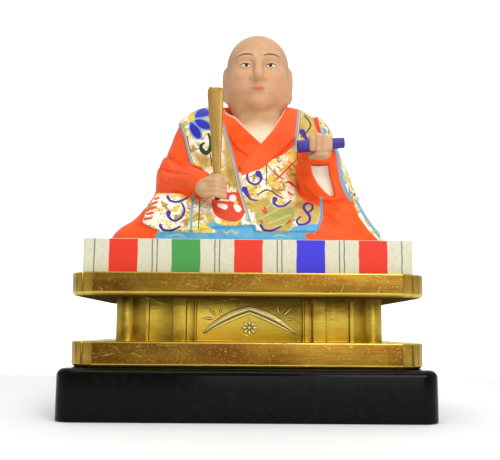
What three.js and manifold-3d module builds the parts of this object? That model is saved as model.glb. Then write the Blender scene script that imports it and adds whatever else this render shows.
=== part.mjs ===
// A seated altar figure of a monk in painted robes, on a gilt and lacquered dais.
// Millimetres, +Z up, the front faces -Y, and the origin is at the centre of the underside.

import * as THREE from 'three';
import { mergeVertices } from 'three/addons/utils/BufferGeometryUtils.js';
import Module from 'manifold-3d';

const wasm = await Module();
wasm.setup();

// Overall sizes of the dais, from the ground up

const BASE = { width: 125, depth: 100, bottom: 0, top: 17, corner: 6, rounding: 2.5 };
const LOWER_TIER = { width: 119, depth: 92, bottom: 17, top: 25.5 };
const WAIST = { width: 93.6, depth: 64, bottom: 25.5, top: 40.7, shift: 0.6 };
const UPPER_TIER = { width: 120, depth: 92, bottom: 40.7, top: 48.5 };
const MAT = { width: 112, depth: 83, bottom: 48.5, top: 60.2, rounding: 0.8 };
const SEAT = MAT.top;

// The tiers' indented corners, each measured in from the corner of the slab
const NOTCH = { start: 8.6, facet: 5.2, facetIn: 1.9, groove: 4.8, grooveIn: 3, bead: 4.3, beadIn: 2.7 };
const TIER_CHAMFER = 0.9;

// The waist: half-widths along its face, and how far each part stands behind the slab's front
const FACE = { panel: 18.4, frame: 22.0, post: 26.8, bay: 34.8, strip: 36.4, facet: 40.2 };
const SETBACK = { panel: 1.9, post: 0, bay: 1.1, strip: 0.5, facet: 2.8 };
const CORNER_POST = { radius: 3.6, sides: 10 };

// The carved panel on the waist: two leaves that lean together, rays and a small flower
const LEAF = {
  tip: [16.3, 3.1], shoulder: [9.4, 11.3], peak: [0, 12.4],
  blunt: [15.9, 2.6], inner: [7.0, 6.7], innerPeak: [0, 9.7],
  relief: 1.1, steps: 6,
};
const RAYS = [
  { from: [12.4, 7.9], to: [17.0, 8.1] },
  { from: [11.6, 8.8], to: [14.8, 12.0] },
  { from: [10.4, 9.6], to: [9.6, 12.4] },
];
const RAY_WIDTH = 0.9;
const FLOWER = { height: 4.9, radius: 2.8, petals: 6 };
const PANEL_FRONT = -WAIST.depth / 2 + SETBACK.panel;
const ROOT = 0.6;

// The figure. Its own heights are measured up from the mat, so z is 0 where it sits.
// A ball has a centre and three radii, and a limb tapers between two ends.

const BALLS = {
  hips: { at: [1, 4, 6], radii: [36, 22, 20] },
  lap: { at: [0.5, -15, 1], radii: [36, 22.5, 17] },
  rightKnee: { at: [-33, -12, -1], radii: [19.6, 19, 12.8] },
  leftKnee: { at: [33.5, -12, -2], radii: [18.6, 20, 18] },
  belly: { at: [2, -3, 21], radii: [20, 17.5, 16] },
};
const LIMBS = {
  trunk: { from: [2, 6, 12], to: [2.6, 3, 42], radii: [24, 16] },
  shoulders: { from: [-13, 3, 46.2], to: [14, 3, 46.2], radii: [12.2, 12.2] },
  rightThigh: { from: [-8, -9, 9], to: [-29, -19, 8.2], radii: [11, 11] },
  leftThigh: { from: [10, -8, 9], to: [32, -17, 7.6], radii: [11, 11.5] },
  rightUpperArm: { from: [-17, 2, 44], to: [-25, -2, 28.5], radii: [13.2, 11.6] },
  rightSkirt: { from: [-23.5, -2, 26], to: [-29.4, -6, 6], radii: [10, 14.2] },
  rightForearm: { from: [-26.5, -7, 25], to: [-17.5, -27, 22.2], radii: [8.8, 4.6] },
  leftUpperArm: { from: [21.2, 2, 43.6], to: [27, 0, 28.5], radii: [12.9, 12] },
  leftSkirt: { from: [27, 0, 27], to: [34.5, -3, 8], radii: [12, 13.8] },
  leftForearm: { from: [28, -6, 29], to: [26, -26, 32], radii: [9, 6] },
  leftSleeve: { from: [26.5, -18.5, 29], to: [30, -18.5, 18.5], radii: [8.8, 9.4] },
};

// The head, with x measured from the face's middle line, so each paired form is written once
const FACE_MIDDLE = 3.6;
const HEAD = {
  cranium: { at: [0, 2.4, 76.3], radii: [12.7, 15, 13.1] },
  face: { at: [0, -2, 66.2], radii: [11.8, 12.2, 11.6] },
  jowls: { at: [0, -1.5, 62], radii: [12.2, 10.5, 7.8] },
  cheek: { at: [6, -8.3, 67.5], radii: [4.6, 4.4, 5] },
  chin: { at: [0, -11.3, 57.8], radii: [4, 2.8, 2.9] },
  socket: { at: [4.9, -14.8, 72.5], radii: [3, 2.2, 2] },
  eye: { at: [4.9, -10.9, 72.2], radii: [2.9, 2.7, 2.3] },
  nostril: { at: [2, -14.2, 66.4], radii: [1.4, 1.7, 1.3] },
  muzzle: { at: [0, -11.6, 62.4], radii: [4.6, 3, 3.6] },
  upperLip: { at: [0, -14.2, 62.9], radii: [3.5, 1.2, 0.85] },
  lowerLip: { at: [0, -14, 61.3], radii: [2.9, 1.25, 0.95] },
  ear: { at: [13, 1.5, 70.5], radii: [1.6, 3.3, 5.4] },
  lobe: { at: [12.9, 0.6, 64.2], radii: [1.3, 1.9, 3.2] },
};
const BROW = { from: [1.8, -12.7, 75.2], to: [7.4, -10.6, 76.2], radii: [1.15, 0.8] };
const NOSE = { from: [0, -12.6, 74.4], to: [0, -16.2, 66.9], radii: [1.3, 1.9] };
const NECK = { from: [0, 2, 60], to: [0.8, -2.5, 41], radii: [9.8, 11] };

// Garment edges in front lie on an upright board before the chest, as an eye straight ahead sees
// them. Each outline is [across, up] on that board, and lift is how far the cloth stands proud.
const EYE = { x: -2.1, y: -290, z: -30.6 };
const BOARD_Y = -20;
const FRONT_CLOTHS = {
  throat: {
    lift: -2.6,
    outline: [
      [-9.5, 54], [-8.7, 50.7], [-4.9, 48.7], [-0.7, 44.4],
      [4.6, 39.4], [8.7, 44.3], [12.1, 49.8], [14.7, 55.5],
    ],
  },
  overCollar: {
    lift: 1.2,
    outline: [
      [14.7, 56], [12.1, 50], [9, 45.4], [4.6, 39.4], [0.5, 35.2], [-3.4, 30.1],
      [-2.6, 26.6], [5, 29.4], [12.4, 36], [18, 42], [20.3, 54],
    ],
  },
  underCollar: {
    lift: 0.6,
    outline: [
      [-11.6, 55], [-8.7, 50.7], [-4.9, 48.7], [-0.7, 44.4], [4.6, 39.4],
      [0.2, 34], [-4.8, 37.2], [-8.6, 43.6], [-10.9, 50.7],
    ],
  },
  shoulderPanel: {
    lift: 0.9,
    outline: [
      [-30, 50], [-25.9, 44.8], [-24.4, 40.4], [-23.2, 35.4], [-21.8, 30.2], [-18, 29.5], [-15.6, 26.9],
      [-14.4, 22], [-9, 13], [1.4, 8.6], [-0.9, 15.8], [-2.6, 21.5], [-3.8, 26.8], [-5.1, 32.5],
      [-7.5, 40.6], [-9.8, 47.2], [-10.3, 53.5], [-14, 62], [-30, 62],
    ],
  },
  kneePanel: {
    lift: 0.9,
    outline: [
      [-34.2, 19.6], [-38.5, 13.6], [-42, 7.5], [-32.6, 5.6], [-21.5, 5.5], [-12, 7], [2.2, 7.8],
      [1, 12], [-8, 20], [-14, 19], [-18.3, 20.2], [-26, 19.6],
    ],
  },
  stole: {
    lift: 0.9,
    outline: [
      [-4, 27.6], [0.5, 29], [8, 32.3], [13.6, 35.4], [17, 38.6], [17.8, 45.1], [18.5, 52], [18, 62],
      [60, 62], [60, 18], [39.8, 17.8], [26.3, 18.4], [27.4, 12], [25.5, 5.7], [2.5, 5.7], [1.4, 9.8],
    ],
  },
  sleeveRim: {
    lift: 0.7,
    outline: [
      [18.2, 36], [18.6, 30.9], [20, 25.2], [22.6, 21], [26.3, 17.6], [31.9, 17.2],
      [36.8, 18.2], [36.1, 22], [34.9, 28.4], [33.8, 36.8], [27, 40],
    ],
  },
  sleeveMouth: {
    lift: -2.6,
    outline: [
      [23.3, 31.5], [24.1, 27.3], [26, 23.6], [28.6, 20.5], [30.4, 19],
      [32.1, 19], [31.4, 23], [30.3, 27.2], [29.8, 31.5],
    ],
  },
};

// Behind the turning plane the stole covers the back, outlined square on
const TURN_Y = 1;
const [NEAR_Y, FAR_Y] = [-60, 50];
const BACK_STOLE = {
  lift: 0.9,
  outline: [[-33, 6.5], [-26, 14], [-23.5, 30], [-22.5, 47], [-24, 62], [60, 62], [60, 6.5]],
};

// Folds cut into the cloth in front: each runs from its start, bowed at its middle, to its end
const FOLDS = [
  { start: [-33.5, 37], middle: [-28.5, 31.8], end: [-23, 30], width: 1.8 },
  { start: [-36.5, 31.5], middle: [-30, 27.5], end: [-20, 26.3], width: 1.6 },
  { start: [-37, 25.5], middle: [-30, 23.3], end: [-20, 21.5], width: 1.6 },
  { start: [-27, 43], middle: [-30.5, 35], end: [-32, 28], width: 1.5 },
  { start: [24, 13.5], middle: [30, 11], end: [36, 6], width: 1.9 },
  { start: [28, 17.5], middle: [35.5, 12.5], end: [42.5, 5], width: 1.9 },
  { start: [34, 15.5], middle: [40.5, 10.5], end: [46.5, 3], width: 1.7 },
  { start: [-37, 10], middle: [-41.5, 6.5], end: [-47, 2.5], width: 1.6 },
];
const FOLD_DEPTH = 0.8;

// How finely the robe and the head are faceted
const ROBE_FACETS = { columns: 42, rows: 21, frontCrowding: 0.3 };
const SLEEVE_FACETS = { columns: 14, rows: 9 };
const HEAD_FACETS = { columns: 30, rows: 25, frontCrowding: 0.52 };

// The fists: each finger runs through its points, and all of a hand have one radius
const RIGHT_FIST = {
  fingerRadius: 1.1,
  palm: { at: [-15, -31.4, 19.5], radii: [4.1, 3.7, 3.8] },
  wrist: { from: [-16.5, -29, 20.6], to: [-20, -23, 22.2], radius: 3.3 },
  fingerHeights: [21.7, 20, 18.3, 16.7],
  fingerPath: [[-15.4, -33.8], [-11.7, -35.6], [-8.7, -33.9]],
  thumb: [[-14.6, -32.4, 22.6], [-11.4, -35, 23.1], [-9.3, -34.8, 22.5]],
};
const LEFT_FIST = {
  fingerRadius: 1.3,
  palm: { at: [25.6, -30.8, 33.6], radii: [4.4, 3.6, 4.2] },
  wrist: { from: [25.8, -28, 32.4], to: [26, -22, 30], radius: 3.8 },
  fingerPlaces: [22.3, 24.4, 26.5, 28.5],
  fingerPath: [[-33, 38.3], [-37.2, 36.9], [-36.9, 32.8]],
  thumb: [[22.4, -32.4, 31.2], [24.4, -35.8, 31.4], [27, -36, 31.2]],
};

// The baton stands in the right fist, and the scroll lies across the left one
const BATON = {
  foot: { at: [-11.1, -33, 15], width: 2.2, depth: 1.7 },
  grip: { at: [-11.4, -33, 24.5], width: 2.6, depth: 1.9 },
  neck: { at: [-12.3, -31.6, 54.6], width: 5.6, depth: 2.9 },
  crown: { at: [-12.3, -31.5, 56.2], width: 4.9, depth: 2.3 },
};
const SCROLL = {
  from: [17.3, -34.6, 34.2], to: [33.9, -33.6, 36.1],
  radii: [2.3, 1.9], hollow: 0.8, sides: 10,
};
const HELD_GAP = 0.3;

// Colour, roughness and metalness of each material
const GOLD_LEAF = { color: 0xc89b32, roughness: 0.35, metalness: 0.9 };
const BLACK_LACQUER = { color: 0x141613, roughness: 0.12, metalness: 0 };
const MAT_PAINT = { color: 0xe4e0d0, roughness: 0.6, metalness: 0 };
const ROBE_PAINT = { color: 0xf25a2d, roughness: 0.6, metalness: 0 };
const BATON_GOLD = { color: 0xa8853c, roughness: 0.45, metalness: 0.5 };
const SCROLL_BLUE = { color: 0x3a2db0, roughness: 0.5, metalness: 0 };

// Solids and meshes

function solidOf(geometry) {
  const plain = geometry.clone();
  plain.deleteAttribute('normal');
  plain.deleteAttribute('uv');
  const welded = mergeVertices(plain, 1e-4);
  const vertProperties = new Float32Array(welded.attributes.position.array);
  const triVerts = new Uint32Array(welded.index.array);
  return new wasm.Manifold(new wasm.Mesh({ numProp: 3, vertProperties, triVerts }));
}

function geometryOf(solid) {
  const mesh = solid.getMesh();
  const geometry = new THREE.BufferGeometry();
  geometry.setAttribute('position', new THREE.BufferAttribute(new Float32Array(mesh.vertProperties), 3));
  geometry.setIndex(new THREE.BufferAttribute(new Uint32Array(mesh.triVerts), 1));
  geometry.computeVertexNormals();
  return geometry;
}

function piece(name, geometry, finish) {
  const mesh = new THREE.Mesh(geometry, new THREE.MeshStandardMaterial(finish));
  mesh.name = name;
  return mesh;
}

const union = (solids) => solids.reduce((whole, solid) => whole.add(solid));

// A closed solid through outlines of equal point count, each at its own height
function stack(layers) {
  const count = layers[0].outline.length;
  const positions = layers.flatMap(({ outline, height }) => outline.flatMap(([x, y]) => [x, y, height]));
  const flat = layers[0].outline.map(([x, y]) => new THREE.Vector2(x, y));
  const faces = THREE.ShapeUtils.triangulateShape(flat, []);
  const last = (layers.length - 1) * count;
  const indices = [];
  for (const [a, b, c] of faces) {
    indices.push(a, c, b);
    indices.push(last + a, last + b, last + c);
  }
  for (let layer = 0; layer < layers.length - 1; layer += 1) {
    for (let i = 0; i < count; i += 1) {
      const next = (i + 1) % count;
      const low = layer * count;
      const high = low + count;
      indices.push(low + i, low + next, high + next);
      indices.push(low + i, high + next, high + i);
    }
  }
  const geometry = new THREE.BufferGeometry();
  geometry.setAttribute('position', new THREE.Float32BufferAttribute(positions, 3));
  geometry.setIndex(indices);
  geometry.computeVertexNormals();
  return geometry;
}

// An outline that repeats one quarter in all four corners, anticlockwise from the front right.
// The quarter runs from the front's middle to the right side's, with x out and y towards the viewer.
function fourQuarters(quarter) {
  const flipped = [...quarter].reverse();
  const frontRight = quarter.map(([x, y]) => [x, -y]);
  const backRight = flipped.map(([x, y]) => [x, y]);
  const backLeft = quarter.map(([x, y]) => [-x, y]);
  const frontLeft = flipped.map(([x, y]) => [-x, -y]);
  return [...frontRight, ...backRight, ...backLeft, ...frontLeft];
}

// The dais

function roundedOutline(width, depth, radius, steps) {
  const quarter = [];
  for (let i = 0; i <= steps; i += 1) {
    const angle = (Math.PI / 2) * (1 - i / steps);
    const x = width / 2 - radius + radius * Math.cos(angle);
    const y = depth / 2 - radius + radius * Math.sin(angle);
    quarter.push([x, y]);
  }
  return fourQuarters(quarter);
}

function makeLacquerBase() {
  const { width, depth, bottom, top, corner, rounding } = BASE;
  const steps = 4;
  const layers = [{ outline: roundedOutline(width, depth, corner, steps), height: bottom }];
  for (let i = 0; i <= steps; i += 1) {
    const angle = (Math.PI / 2) * (i / steps);
    const inset = rounding * (1 - Math.cos(angle));
    const outline = roundedOutline(width - 2 * inset, depth - 2 * inset, corner - inset, steps);
    layers.push({ outline, height: top - rounding + rounding * Math.sin(angle) });
  }
  return piece('lacquer_base', stack(layers), BLACK_LACQUER);
}

function indentedOutline(width, depth) {
  const n = NOTCH;
  const half = [[n.start, 0], [n.facet, n.facetIn], [n.groove, n.grooveIn], [n.bead, n.beadIn]];
  const mirrored = [...half].reverse().map(([across, into]) => [into, across]);
  return fourQuarters([...half, ...mirrored].map(([across, into]) => [width / 2 - across, depth / 2 - into]));
}

function makeTier(name, { width, depth, bottom, top }) {
  const inset = 2 * TIER_CHAMFER;
  return piece(name, stack([
    { outline: indentedOutline(width - inset, depth - inset), height: bottom },
    { outline: indentedOutline(width, depth), height: bottom + TIER_CHAMFER },
    { outline: indentedOutline(width, depth), height: top },
  ]), GOLD_LEAF);
}

// The posts, bays and facets of one half of a waist face, from its middle out to the corner post
function waistFace(reach) {
  const { panel, frame, post, bay, strip, facet } = FACE;
  const back = SETBACK;
  const shift = reach - WAIST.width / 2;
  return [
    [panel + shift, back.panel], [frame + shift, back.bay], [frame + 0.4 + shift, back.post],
    [post + shift, back.post], [post + 0.4 + shift, back.bay], [bay + shift, back.bay],
    [bay + 0.3 + shift, back.strip], [strip + shift, back.strip], [facet + shift, back.facet],
  ];
}

function waistOutline() {
  const { width, depth } = WAIST;
  const { radius, sides } = CORNER_POST;
  const front = waistFace(width / 2).map(([x, into]) => [x, depth / 2 - into]);
  const side = waistFace(depth / 2).map(([y, into]) => [width / 2 - into, y]).reverse();
  const post = [];
  for (let i = 0; i <= sides / 2; i += 1) {
    const angle = THREE.MathUtils.degToRad(135 - (180 * i) / (sides / 2));
    const [x, y] = [radius * Math.cos(angle), radius * Math.sin(angle)];
    post.push([width / 2 - radius + x, depth / 2 - radius + y]);
  }
  return fourQuarters([...front, ...post, ...side]);
}

// Turns a carving that is modelled lying down upright on the waist's panel
function onPanel(geometry) {
  geometry.rotateX(Math.PI / 2);
  geometry.translate(0, PANEL_FRONT, WAIST.bottom);
  return geometry;
}

function badge(shape, relief) {
  const bevel = 0.2;
  const geometry = new THREE.ExtrudeGeometry(shape, {
    depth: ROOT + relief - 2 * bevel,
    bevelThickness: bevel,
    bevelSize: bevel,
    bevelOffset: -bevel,
    bevelSegments: 1,
  });
  geometry.translate(0, 0, bevel - ROOT);
  return onPanel(geometry);
}

// A leaf with a soft ridge along its middle, on one side of the panel
function leaf(side) {
  const at = ([x, z]) => new THREE.Vector2(side * x, z);
  const edge = (...points) => new THREE.QuadraticBezierCurve(...points.map(at)).getPoints(LEAF.steps);
  const upper = edge(LEAF.tip, LEAF.shoulder, LEAF.peak);
  const lower = edge(LEAF.blunt, LEAF.inner, LEAF.innerPeak);
  const outline = (narrowing) => {
    const top = upper.map((point, i) => point.clone().lerp(lower[i], narrowing));
    const under = lower.map((point, i) => point.clone().lerp(upper[i], narrowing)).reverse();
    const around = [...top, ...under].map(({ x, y }) => [x, y]);
    return side > 0 ? around : around.reverse();
  };
  return onPanel(stack([
    { outline: outline(0), height: -ROOT },
    { outline: outline(0), height: LEAF.relief * 0.35 },
    { outline: outline(0.36), height: LEAF.relief },
  ]));
}

function rayShape({ from, to }, side) {
  const start = new THREE.Vector2(side * from[0], from[1]);
  const end = new THREE.Vector2(side * to[0], to[1]);
  const across = new THREE.Vector2(start.y - end.y, end.x - start.x).setLength(RAY_WIDTH / 2);
  const middle = start.clone().lerp(end, 0.45);
  return new THREE.Shape([start, middle.clone().sub(across), end, middle.clone().add(across)]);
}

function flowerShape() {
  const shape = new THREE.Shape();
  for (let i = 0; i < FLOWER.petals * 2; i += 1) {
    const angle = (Math.PI * i) / FLOWER.petals;
    const reach = FLOWER.radius * (i % 2 ? 0.62 : 1);
    const point = [reach * Math.sin(angle), FLOWER.height + reach * Math.cos(angle)];
    if (i === 0) shape.moveTo(...point);
    else shape.lineTo(...point);
  }
  return shape;
}

function makeWaist() {
  const outline = waistOutline();
  const block = stack([{ outline, height: WAIST.bottom }, { outline, height: WAIST.top }]);
  const carving = [badge(flowerShape(), 0.6)];
  for (const side of [-1, 1]) {
    carving.push(leaf(side));
    for (const ray of RAYS) carving.push(badge(rayShape(ray, side), 0.5));
  }
  const solids = carving.map(solidOf);
  const geometry = geometryOf(union([solidOf(block), ...solids]));
  return piece('waist', geometry.translate(WAIST.shift, 0, 0), GOLD_LEAF);
}

function makeMat() {
  const { width, depth, bottom, top, rounding } = MAT;
  const steps = 2;
  const layers = [{ outline: roundedOutline(width, depth, rounding, steps), height: bottom }];
  layers.push({ outline: roundedOutline(width, depth, rounding, steps), height: top - rounding });
  const inset = rounding * 0.6;
  const outline = roundedOutline(width - 2 * inset, depth - 2 * inset, rounding - inset, steps);
  layers.push({ outline, height: top });
  return piece('striped_mat', stack(layers), MAT_PAINT);
}

// Forms as distances: negative inside, in millimetres

function toBall({ at, radii }, x, y, z) {
  const [a, b, c] = [(x - at[0]) / radii[0], (y - at[1]) / radii[1], (z - at[2]) / radii[2]];
  const reach = Math.hypot(a, b, c);
  return (reach * (reach - 1)) / Math.max(Math.hypot(a / radii[0], b / radii[1], c / radii[2]), 1e-6);
}

function toLimb({ from, to, radii }, x, y, z) {
  const [a, b, c] = [to[0] - from[0], to[1] - from[1], to[2] - from[2]];
  const [p, q, r] = [x - from[0], y - from[1], z - from[2]];
  const t = THREE.MathUtils.clamp((p * a + q * b + r * c) / (a * a + b * b + c * c), 0, 1);
  const gap = Math.hypot(p - t * a, q - t * b, r - t * c);
  return gap - (radii[0] + (radii[1] - radii[0]) * t);
}

function blend(a, b, softness) {
  const share = THREE.MathUtils.clamp(0.5 + (0.5 * (b - a)) / softness, 0, 1);
  return b + (a - b) * share - softness * share * (1 - share);
}

const carve = (a, b, softness) => -blend(-a, b, softness);

// Where the sight line through a point on the garment board reaches a given depth
function offBoard([across, up], y) {
  const scale = (y - EYE.y) / (BOARD_Y - EYE.y);
  return [EYE.x + (across - EYE.x) * scale, EYE.z + (up - EYE.z) * scale];
}

function bodyDistance(x, y, z) {
  const ball = (name) => toBall(BALLS[name], x, y, z);
  const limb = (name) => toLimb(LIMBS[name], x, y, z);
  let d = blend(ball('hips'), ball('lap'), 8);
  d = blend(d, ball('rightKnee'), 6);
  d = blend(d, ball('leftKnee'), 6);
  d = blend(d, blend(limb('trunk'), ball('belly'), 6), 6);
  d = blend(d, limb('rightThigh'), 5);
  d = blend(d, limb('leftThigh'), 5);
  d = blend(d, limb('shoulders'), 7);
  d = blend(d, limb('rightSkirt'), 5);
  d = blend(d, limb('rightUpperArm'), 3.5);
  d = blend(d, limb('leftUpperArm'), 3.5);
  return blend(d, limb('leftSkirt'), 4);
}

const rightArmDistance = (x, y, z) => toLimb(LIMBS.rightForearm, x, y, z);

function leftArmDistance(x, y, z) {
  return blend(toLimb(LIMBS.leftForearm, x, y, z), toLimb(LIMBS.leftSleeve, x, y, z), 3);
}

// A form with its whole skin moved out by a lift
const lifted = (distance, lift) => (x, y, z) => distance(x, y, z) - lift;

function headDistance(x, y, z) {
  const side = Math.abs(x - FACE_MIDDLE);
  const ball = (name) => toBall(HEAD[name], side, y, z);
  let d = blend(ball('cranium'), ball('face'), 5);
  d = blend(d, ball('jowls'), 5);
  d = blend(d, toLimb(NECK, x - FACE_MIDDLE, y, z), 2);
  d = blend(d, ball('cheek'), 4);
  d = blend(d, ball('chin'), 3);
  d = blend(d, toLimb(BROW, side, y, z), 3);
  d = carve(d, ball('socket'), 2.4);
  d = blend(d, ball('eye'), 0.6);
  d = blend(d, toLimb(NOSE, side, y, z), 1.6);
  d = blend(d, ball('nostril'), 1);
  d = blend(d, ball('muzzle'), 2);
  d = blend(d, ball('upperLip'), 0.5);
  d = blend(d, ball('lowerLip'), 0.5);
  d = blend(d, ball('ear'), 1.2);
  return blend(d, ball('lobe'), 1.2);
}

// Walks in along a ray until it meets the form
function meet(distance, origin, direction, reach) {
  let t = reach;
  for (let step = 0; step < 90; step += 1) {
    const point = origin.clone().addScaledVector(direction, t);
    const gap = distance(point.x, point.y, point.z);
    t = Math.max(t - gap * 0.8, 0.5);
    if (Math.abs(gap) < 0.01) break;
  }
  return origin.clone().addScaledVector(direction, t);
}

// Shrinks a sphere's net onto a form. Each of its points looks out along its own ray, and
// place(turn, rise) gives that ray, from the share of the way round and of the way up.
function wrap(distance, { columns, rows }, place, reach) {
  const net = new THREE.SphereGeometry(1, columns, rows).rotateX(Math.PI / 2);
  net.deleteAttribute('normal');
  net.deleteAttribute('uv');
  const geometry = mergeVertices(net, 1e-5);
  const positions = geometry.attributes.position;
  for (let i = 0; i < positions.count; i += 1) {
    const point = new THREE.Vector3().fromBufferAttribute(positions, i);
    const turn = Math.atan2(point.x, -point.y);
    const rise = Math.asin(THREE.MathUtils.clamp(point.z, -1, 1)) / Math.PI + 0.5;
    const { origin, direction } = place(turn, rise);
    const met = direction ? meet(distance, origin, direction, reach) : origin;
    positions.setXYZ(i, met.x, met.y, met.z);
  }
  return geometry;
}

const fan = (turn, lift) => new THREE.Vector3(
  Math.sin(turn) * Math.cos(lift),
  -Math.cos(turn) * Math.cos(lift),
  Math.sin(lift),
);

const crowd = (turn, amount) => turn - amount * Math.sin(turn);

function makeBody(lift) {
  const { rows, frontCrowding } = ROBE_FACETS;
  return wrap(lifted(bodyDistance, lift), ROBE_FACETS, (turn, rise) => {
    const ring = rise * rows;
    if (ring < 0.5) return { origin: new THREE.Vector3(1, -3, 0) };
    const up = Math.max(ring - 1, 0) / (rows - 1);
    const origin = new THREE.Vector3(1, -3 + 5 * up, 40 * up);
    return { origin, direction: fan(crowd(turn, frontCrowding), (Math.PI / 2) * up ** 2.2) };
  }, 75);
}

// A sleeve's net runs along its limb, with a pole at each end
function makeSleeve(distance, { from, to }, lift) {
  const [start, end] = [new THREE.Vector3(...from), new THREE.Vector3(...to)];
  const along = end.clone().sub(start).normalize();
  const upright = new THREE.Quaternion().setFromUnitVectors(new THREE.Vector3(0, 0, 1), along);
  return wrap(lifted(distance, lift), SLEEVE_FACETS, (turn, rise) => {
    const origin = start.clone().lerp(end, THREE.MathUtils.smoothstep(rise, 0.1, 0.9));
    return { origin, direction: fan(turn, Math.PI * (rise - 0.5)).applyQuaternion(upright) };
  }, 24);
}

// A wedge of space between two depths, from an outline that place puts at each depth
function wedge(outline, nearY, farY, place) {
  const flat = outline.map(([x, z]) => new THREE.Vector2(x, z));
  const turned = THREE.ShapeUtils.isClockWise(flat) ? [...outline].reverse() : outline;
  const layers = [farY, nearY].map((y) => ({ outline: turned.map((point) => place(point, y)), height: -y }));
  return solidOf(stack(layers).rotateX(Math.PI / 2));
}

const inSight = ({ outline }) => wedge(outline, NEAR_Y, TURN_Y, offBoard);
const behind = ({ outline }) => wedge(outline, TURN_Y, FAR_Y, (point) => point);

// A fold's outline is a narrow leaf round its line
function foldOutline({ start, middle, end, width }) {
  const across = new THREE.Vector2(start[1] - end[1], end[0] - start[0]).setLength(width / 2);
  const [x, z] = middle;
  return [start, [x - across.x, z - across.y], end, [x + across.x, z + across.y]];
}

function makeRobe() {
  const { throat, overCollar, underCollar, shoulderPanel } = FRONT_CLOTHS;
  const { kneePanel, stole, sleeveRim, sleeveMouth } = FRONT_CLOTHS;
  const body = (lift) => solidOf(makeBody(lift));
  const leftSleeve = (lift) => solidOf(makeSleeve(leftArmDistance, LIMBS.leftSleeve, lift));
  const rightSleeve = (lift) => solidOf(makeSleeve(rightArmDistance, LIMBS.rightForearm, lift));
  const stoleSpace = union([shoulderPanel, kneePanel, stole].map(inSight)).add(behind(BACK_STOLE));
  const mouth = wedge(sleeveMouth.outline, NEAR_Y, LIMBS.leftSleeve.from[1], offBoard);
  const sleeve = leftSleeve(0).add(leftSleeve(sleeveRim.lift).intersect(inSight(sleeveRim)));
  const cloths = [
    body(0).subtract(inSight(throat).subtract(body(throat.lift))),
    body(stole.lift).intersect(stoleSpace),
    body(underCollar.lift).intersect(inSight(underCollar)),
    body(overCollar.lift).intersect(inSight(overCollar)),
    sleeve.subtract(mouth.subtract(leftSleeve(sleeveMouth.lift))),
    rightSleeve(0),
  ];
  const folds = union(FOLDS.map((fold) => inSight({ outline: foldOutline(fold) })));
  const core = union([body(-FOLD_DEPTH), leftSleeve(-FOLD_DEPTH), rightSleeve(-FOLD_DEPTH)]);
  return union(cloths).subtract(folds.subtract(core));
}

function makeHead() {
  return wrap(headDistance, HEAD_FACETS, (turn, rise) => {
    const origin = new THREE.Vector3(FACE_MIDDLE, -1 + 3 * rise, 46 + 32 * rise);
    return { origin, direction: fan(crowd(turn, HEAD_FACETS.frontCrowding), Math.PI * (rise - 0.5)) };
  }, 40);
}

// The turn that lays a form's own Y along a direction
function turnTo(along) {
  return new THREE.Quaternion().setFromUnitVectors(new THREE.Vector3(0, 1, 0), along.clone().normalize());
}

// A rounded rod between two points
function rod(from, to, radius) {
  const [start, end] = [new THREE.Vector3(...from), new THREE.Vector3(...to)];
  const along = end.clone().sub(start);
  const geometry = new THREE.CapsuleGeometry(radius, along.length(), 1, 6);
  const middle = start.lerp(end, 0.5);
  return geometry.applyQuaternion(turnTo(along)).translate(middle.x, middle.y, middle.z);
}

const finger = (points, radius) => points.slice(1).map((end, i) => solidOf(rod(points[i], end, radius)));

function ballSolid({ at, radii }) {
  return solidOf(new THREE.SphereGeometry(1, 9, 6).scale(...radii).translate(...at));
}

function makeRightFist() {
  const { fingerRadius, palm, wrist, fingerHeights, fingerPath, thumb } = RIGHT_FIST;
  const lines = fingerHeights.map((z) => fingerPath.map(([x, y], i) => [x, y, z - 0.25 * i]));
  const fingers = [...lines, thumb].flatMap((line) => finger(line, fingerRadius));
  return union([ballSolid(palm), solidOf(rod(wrist.from, wrist.to, wrist.radius)), ...fingers]);
}

function makeLeftFist() {
  const { fingerRadius, palm, wrist, fingerPlaces, fingerPath, thumb } = LEFT_FIST;
  const lines = fingerPlaces.map((x) => fingerPath.map(([y, z]) => [x, y, z]));
  const fingers = [...lines, thumb].flatMap((line) => finger(line, fingerRadius));
  return union([ballSolid(palm), solidOf(rod(wrist.from, wrist.to, wrist.radius)), ...fingers]);
}

// The baton's outline is a bar with its four long edges cut off
function batonGeometry(gap) {
  const layers = Object.values(BATON).map(({ at, width, depth }, i) => {
    const [w, d] = [width / 2 + gap, depth / 2 + gap];
    const cut = d * 0.45;
    const outline = [
      [w - cut, -d], [w, cut - d], [w, d - cut], [w - cut, d],
      [cut - w, d], [-w, d - cut], [-w, cut - d], [cut - w, -d],
    ];
    const height = at[2] + (i === 0 ? -gap : gap);
    return { outline: outline.map(([x, y]) => [at[0] + x, at[1] + y]), height };
  });
  return stack(layers).translate(0, 0, SEAT);
}

// The scroll's ends are hollowed a little, as the roll's are
function scrollGeometry(gap) {
  const { radii, hollow, sides } = SCROLL;
  const [start, end] = [new THREE.Vector3(...SCROLL.from), new THREE.Vector3(...SCROLL.to)];
  const along = end.clone().sub(start);
  const length = along.length();
  const [r0, r1] = radii.map((radius) => radius + gap);
  const dish = gap ? -gap : hollow;
  const profile = [
    [0, dish], [r0 * 0.5, dish], [r0 * 0.62, -gap], [r0, -gap],
    [r1, length + gap], [r1 * 0.62, length + gap], [r1 * 0.5, length - dish], [0, length - dish],
  ].map(([radius, place]) => new THREE.Vector2(radius, place));
  const geometry = new THREE.LatheGeometry(profile, sides);
  return geometry.applyQuaternion(turnTo(along)).translate(start.x, start.y, start.z + SEAT);
}

function makeFigure() {
  const carving = union([makeRobe(), solidOf(makeHead()), makeRightFist(), makeLeftFist()]);
  const held = solidOf(batonGeometry(HELD_GAP)).add(solidOf(scrollGeometry(HELD_GAP)));
  return piece('figure', geometryOf(carving.translate([0, 0, SEAT]).subtract(held)), ROBE_PAINT);
}

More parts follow.
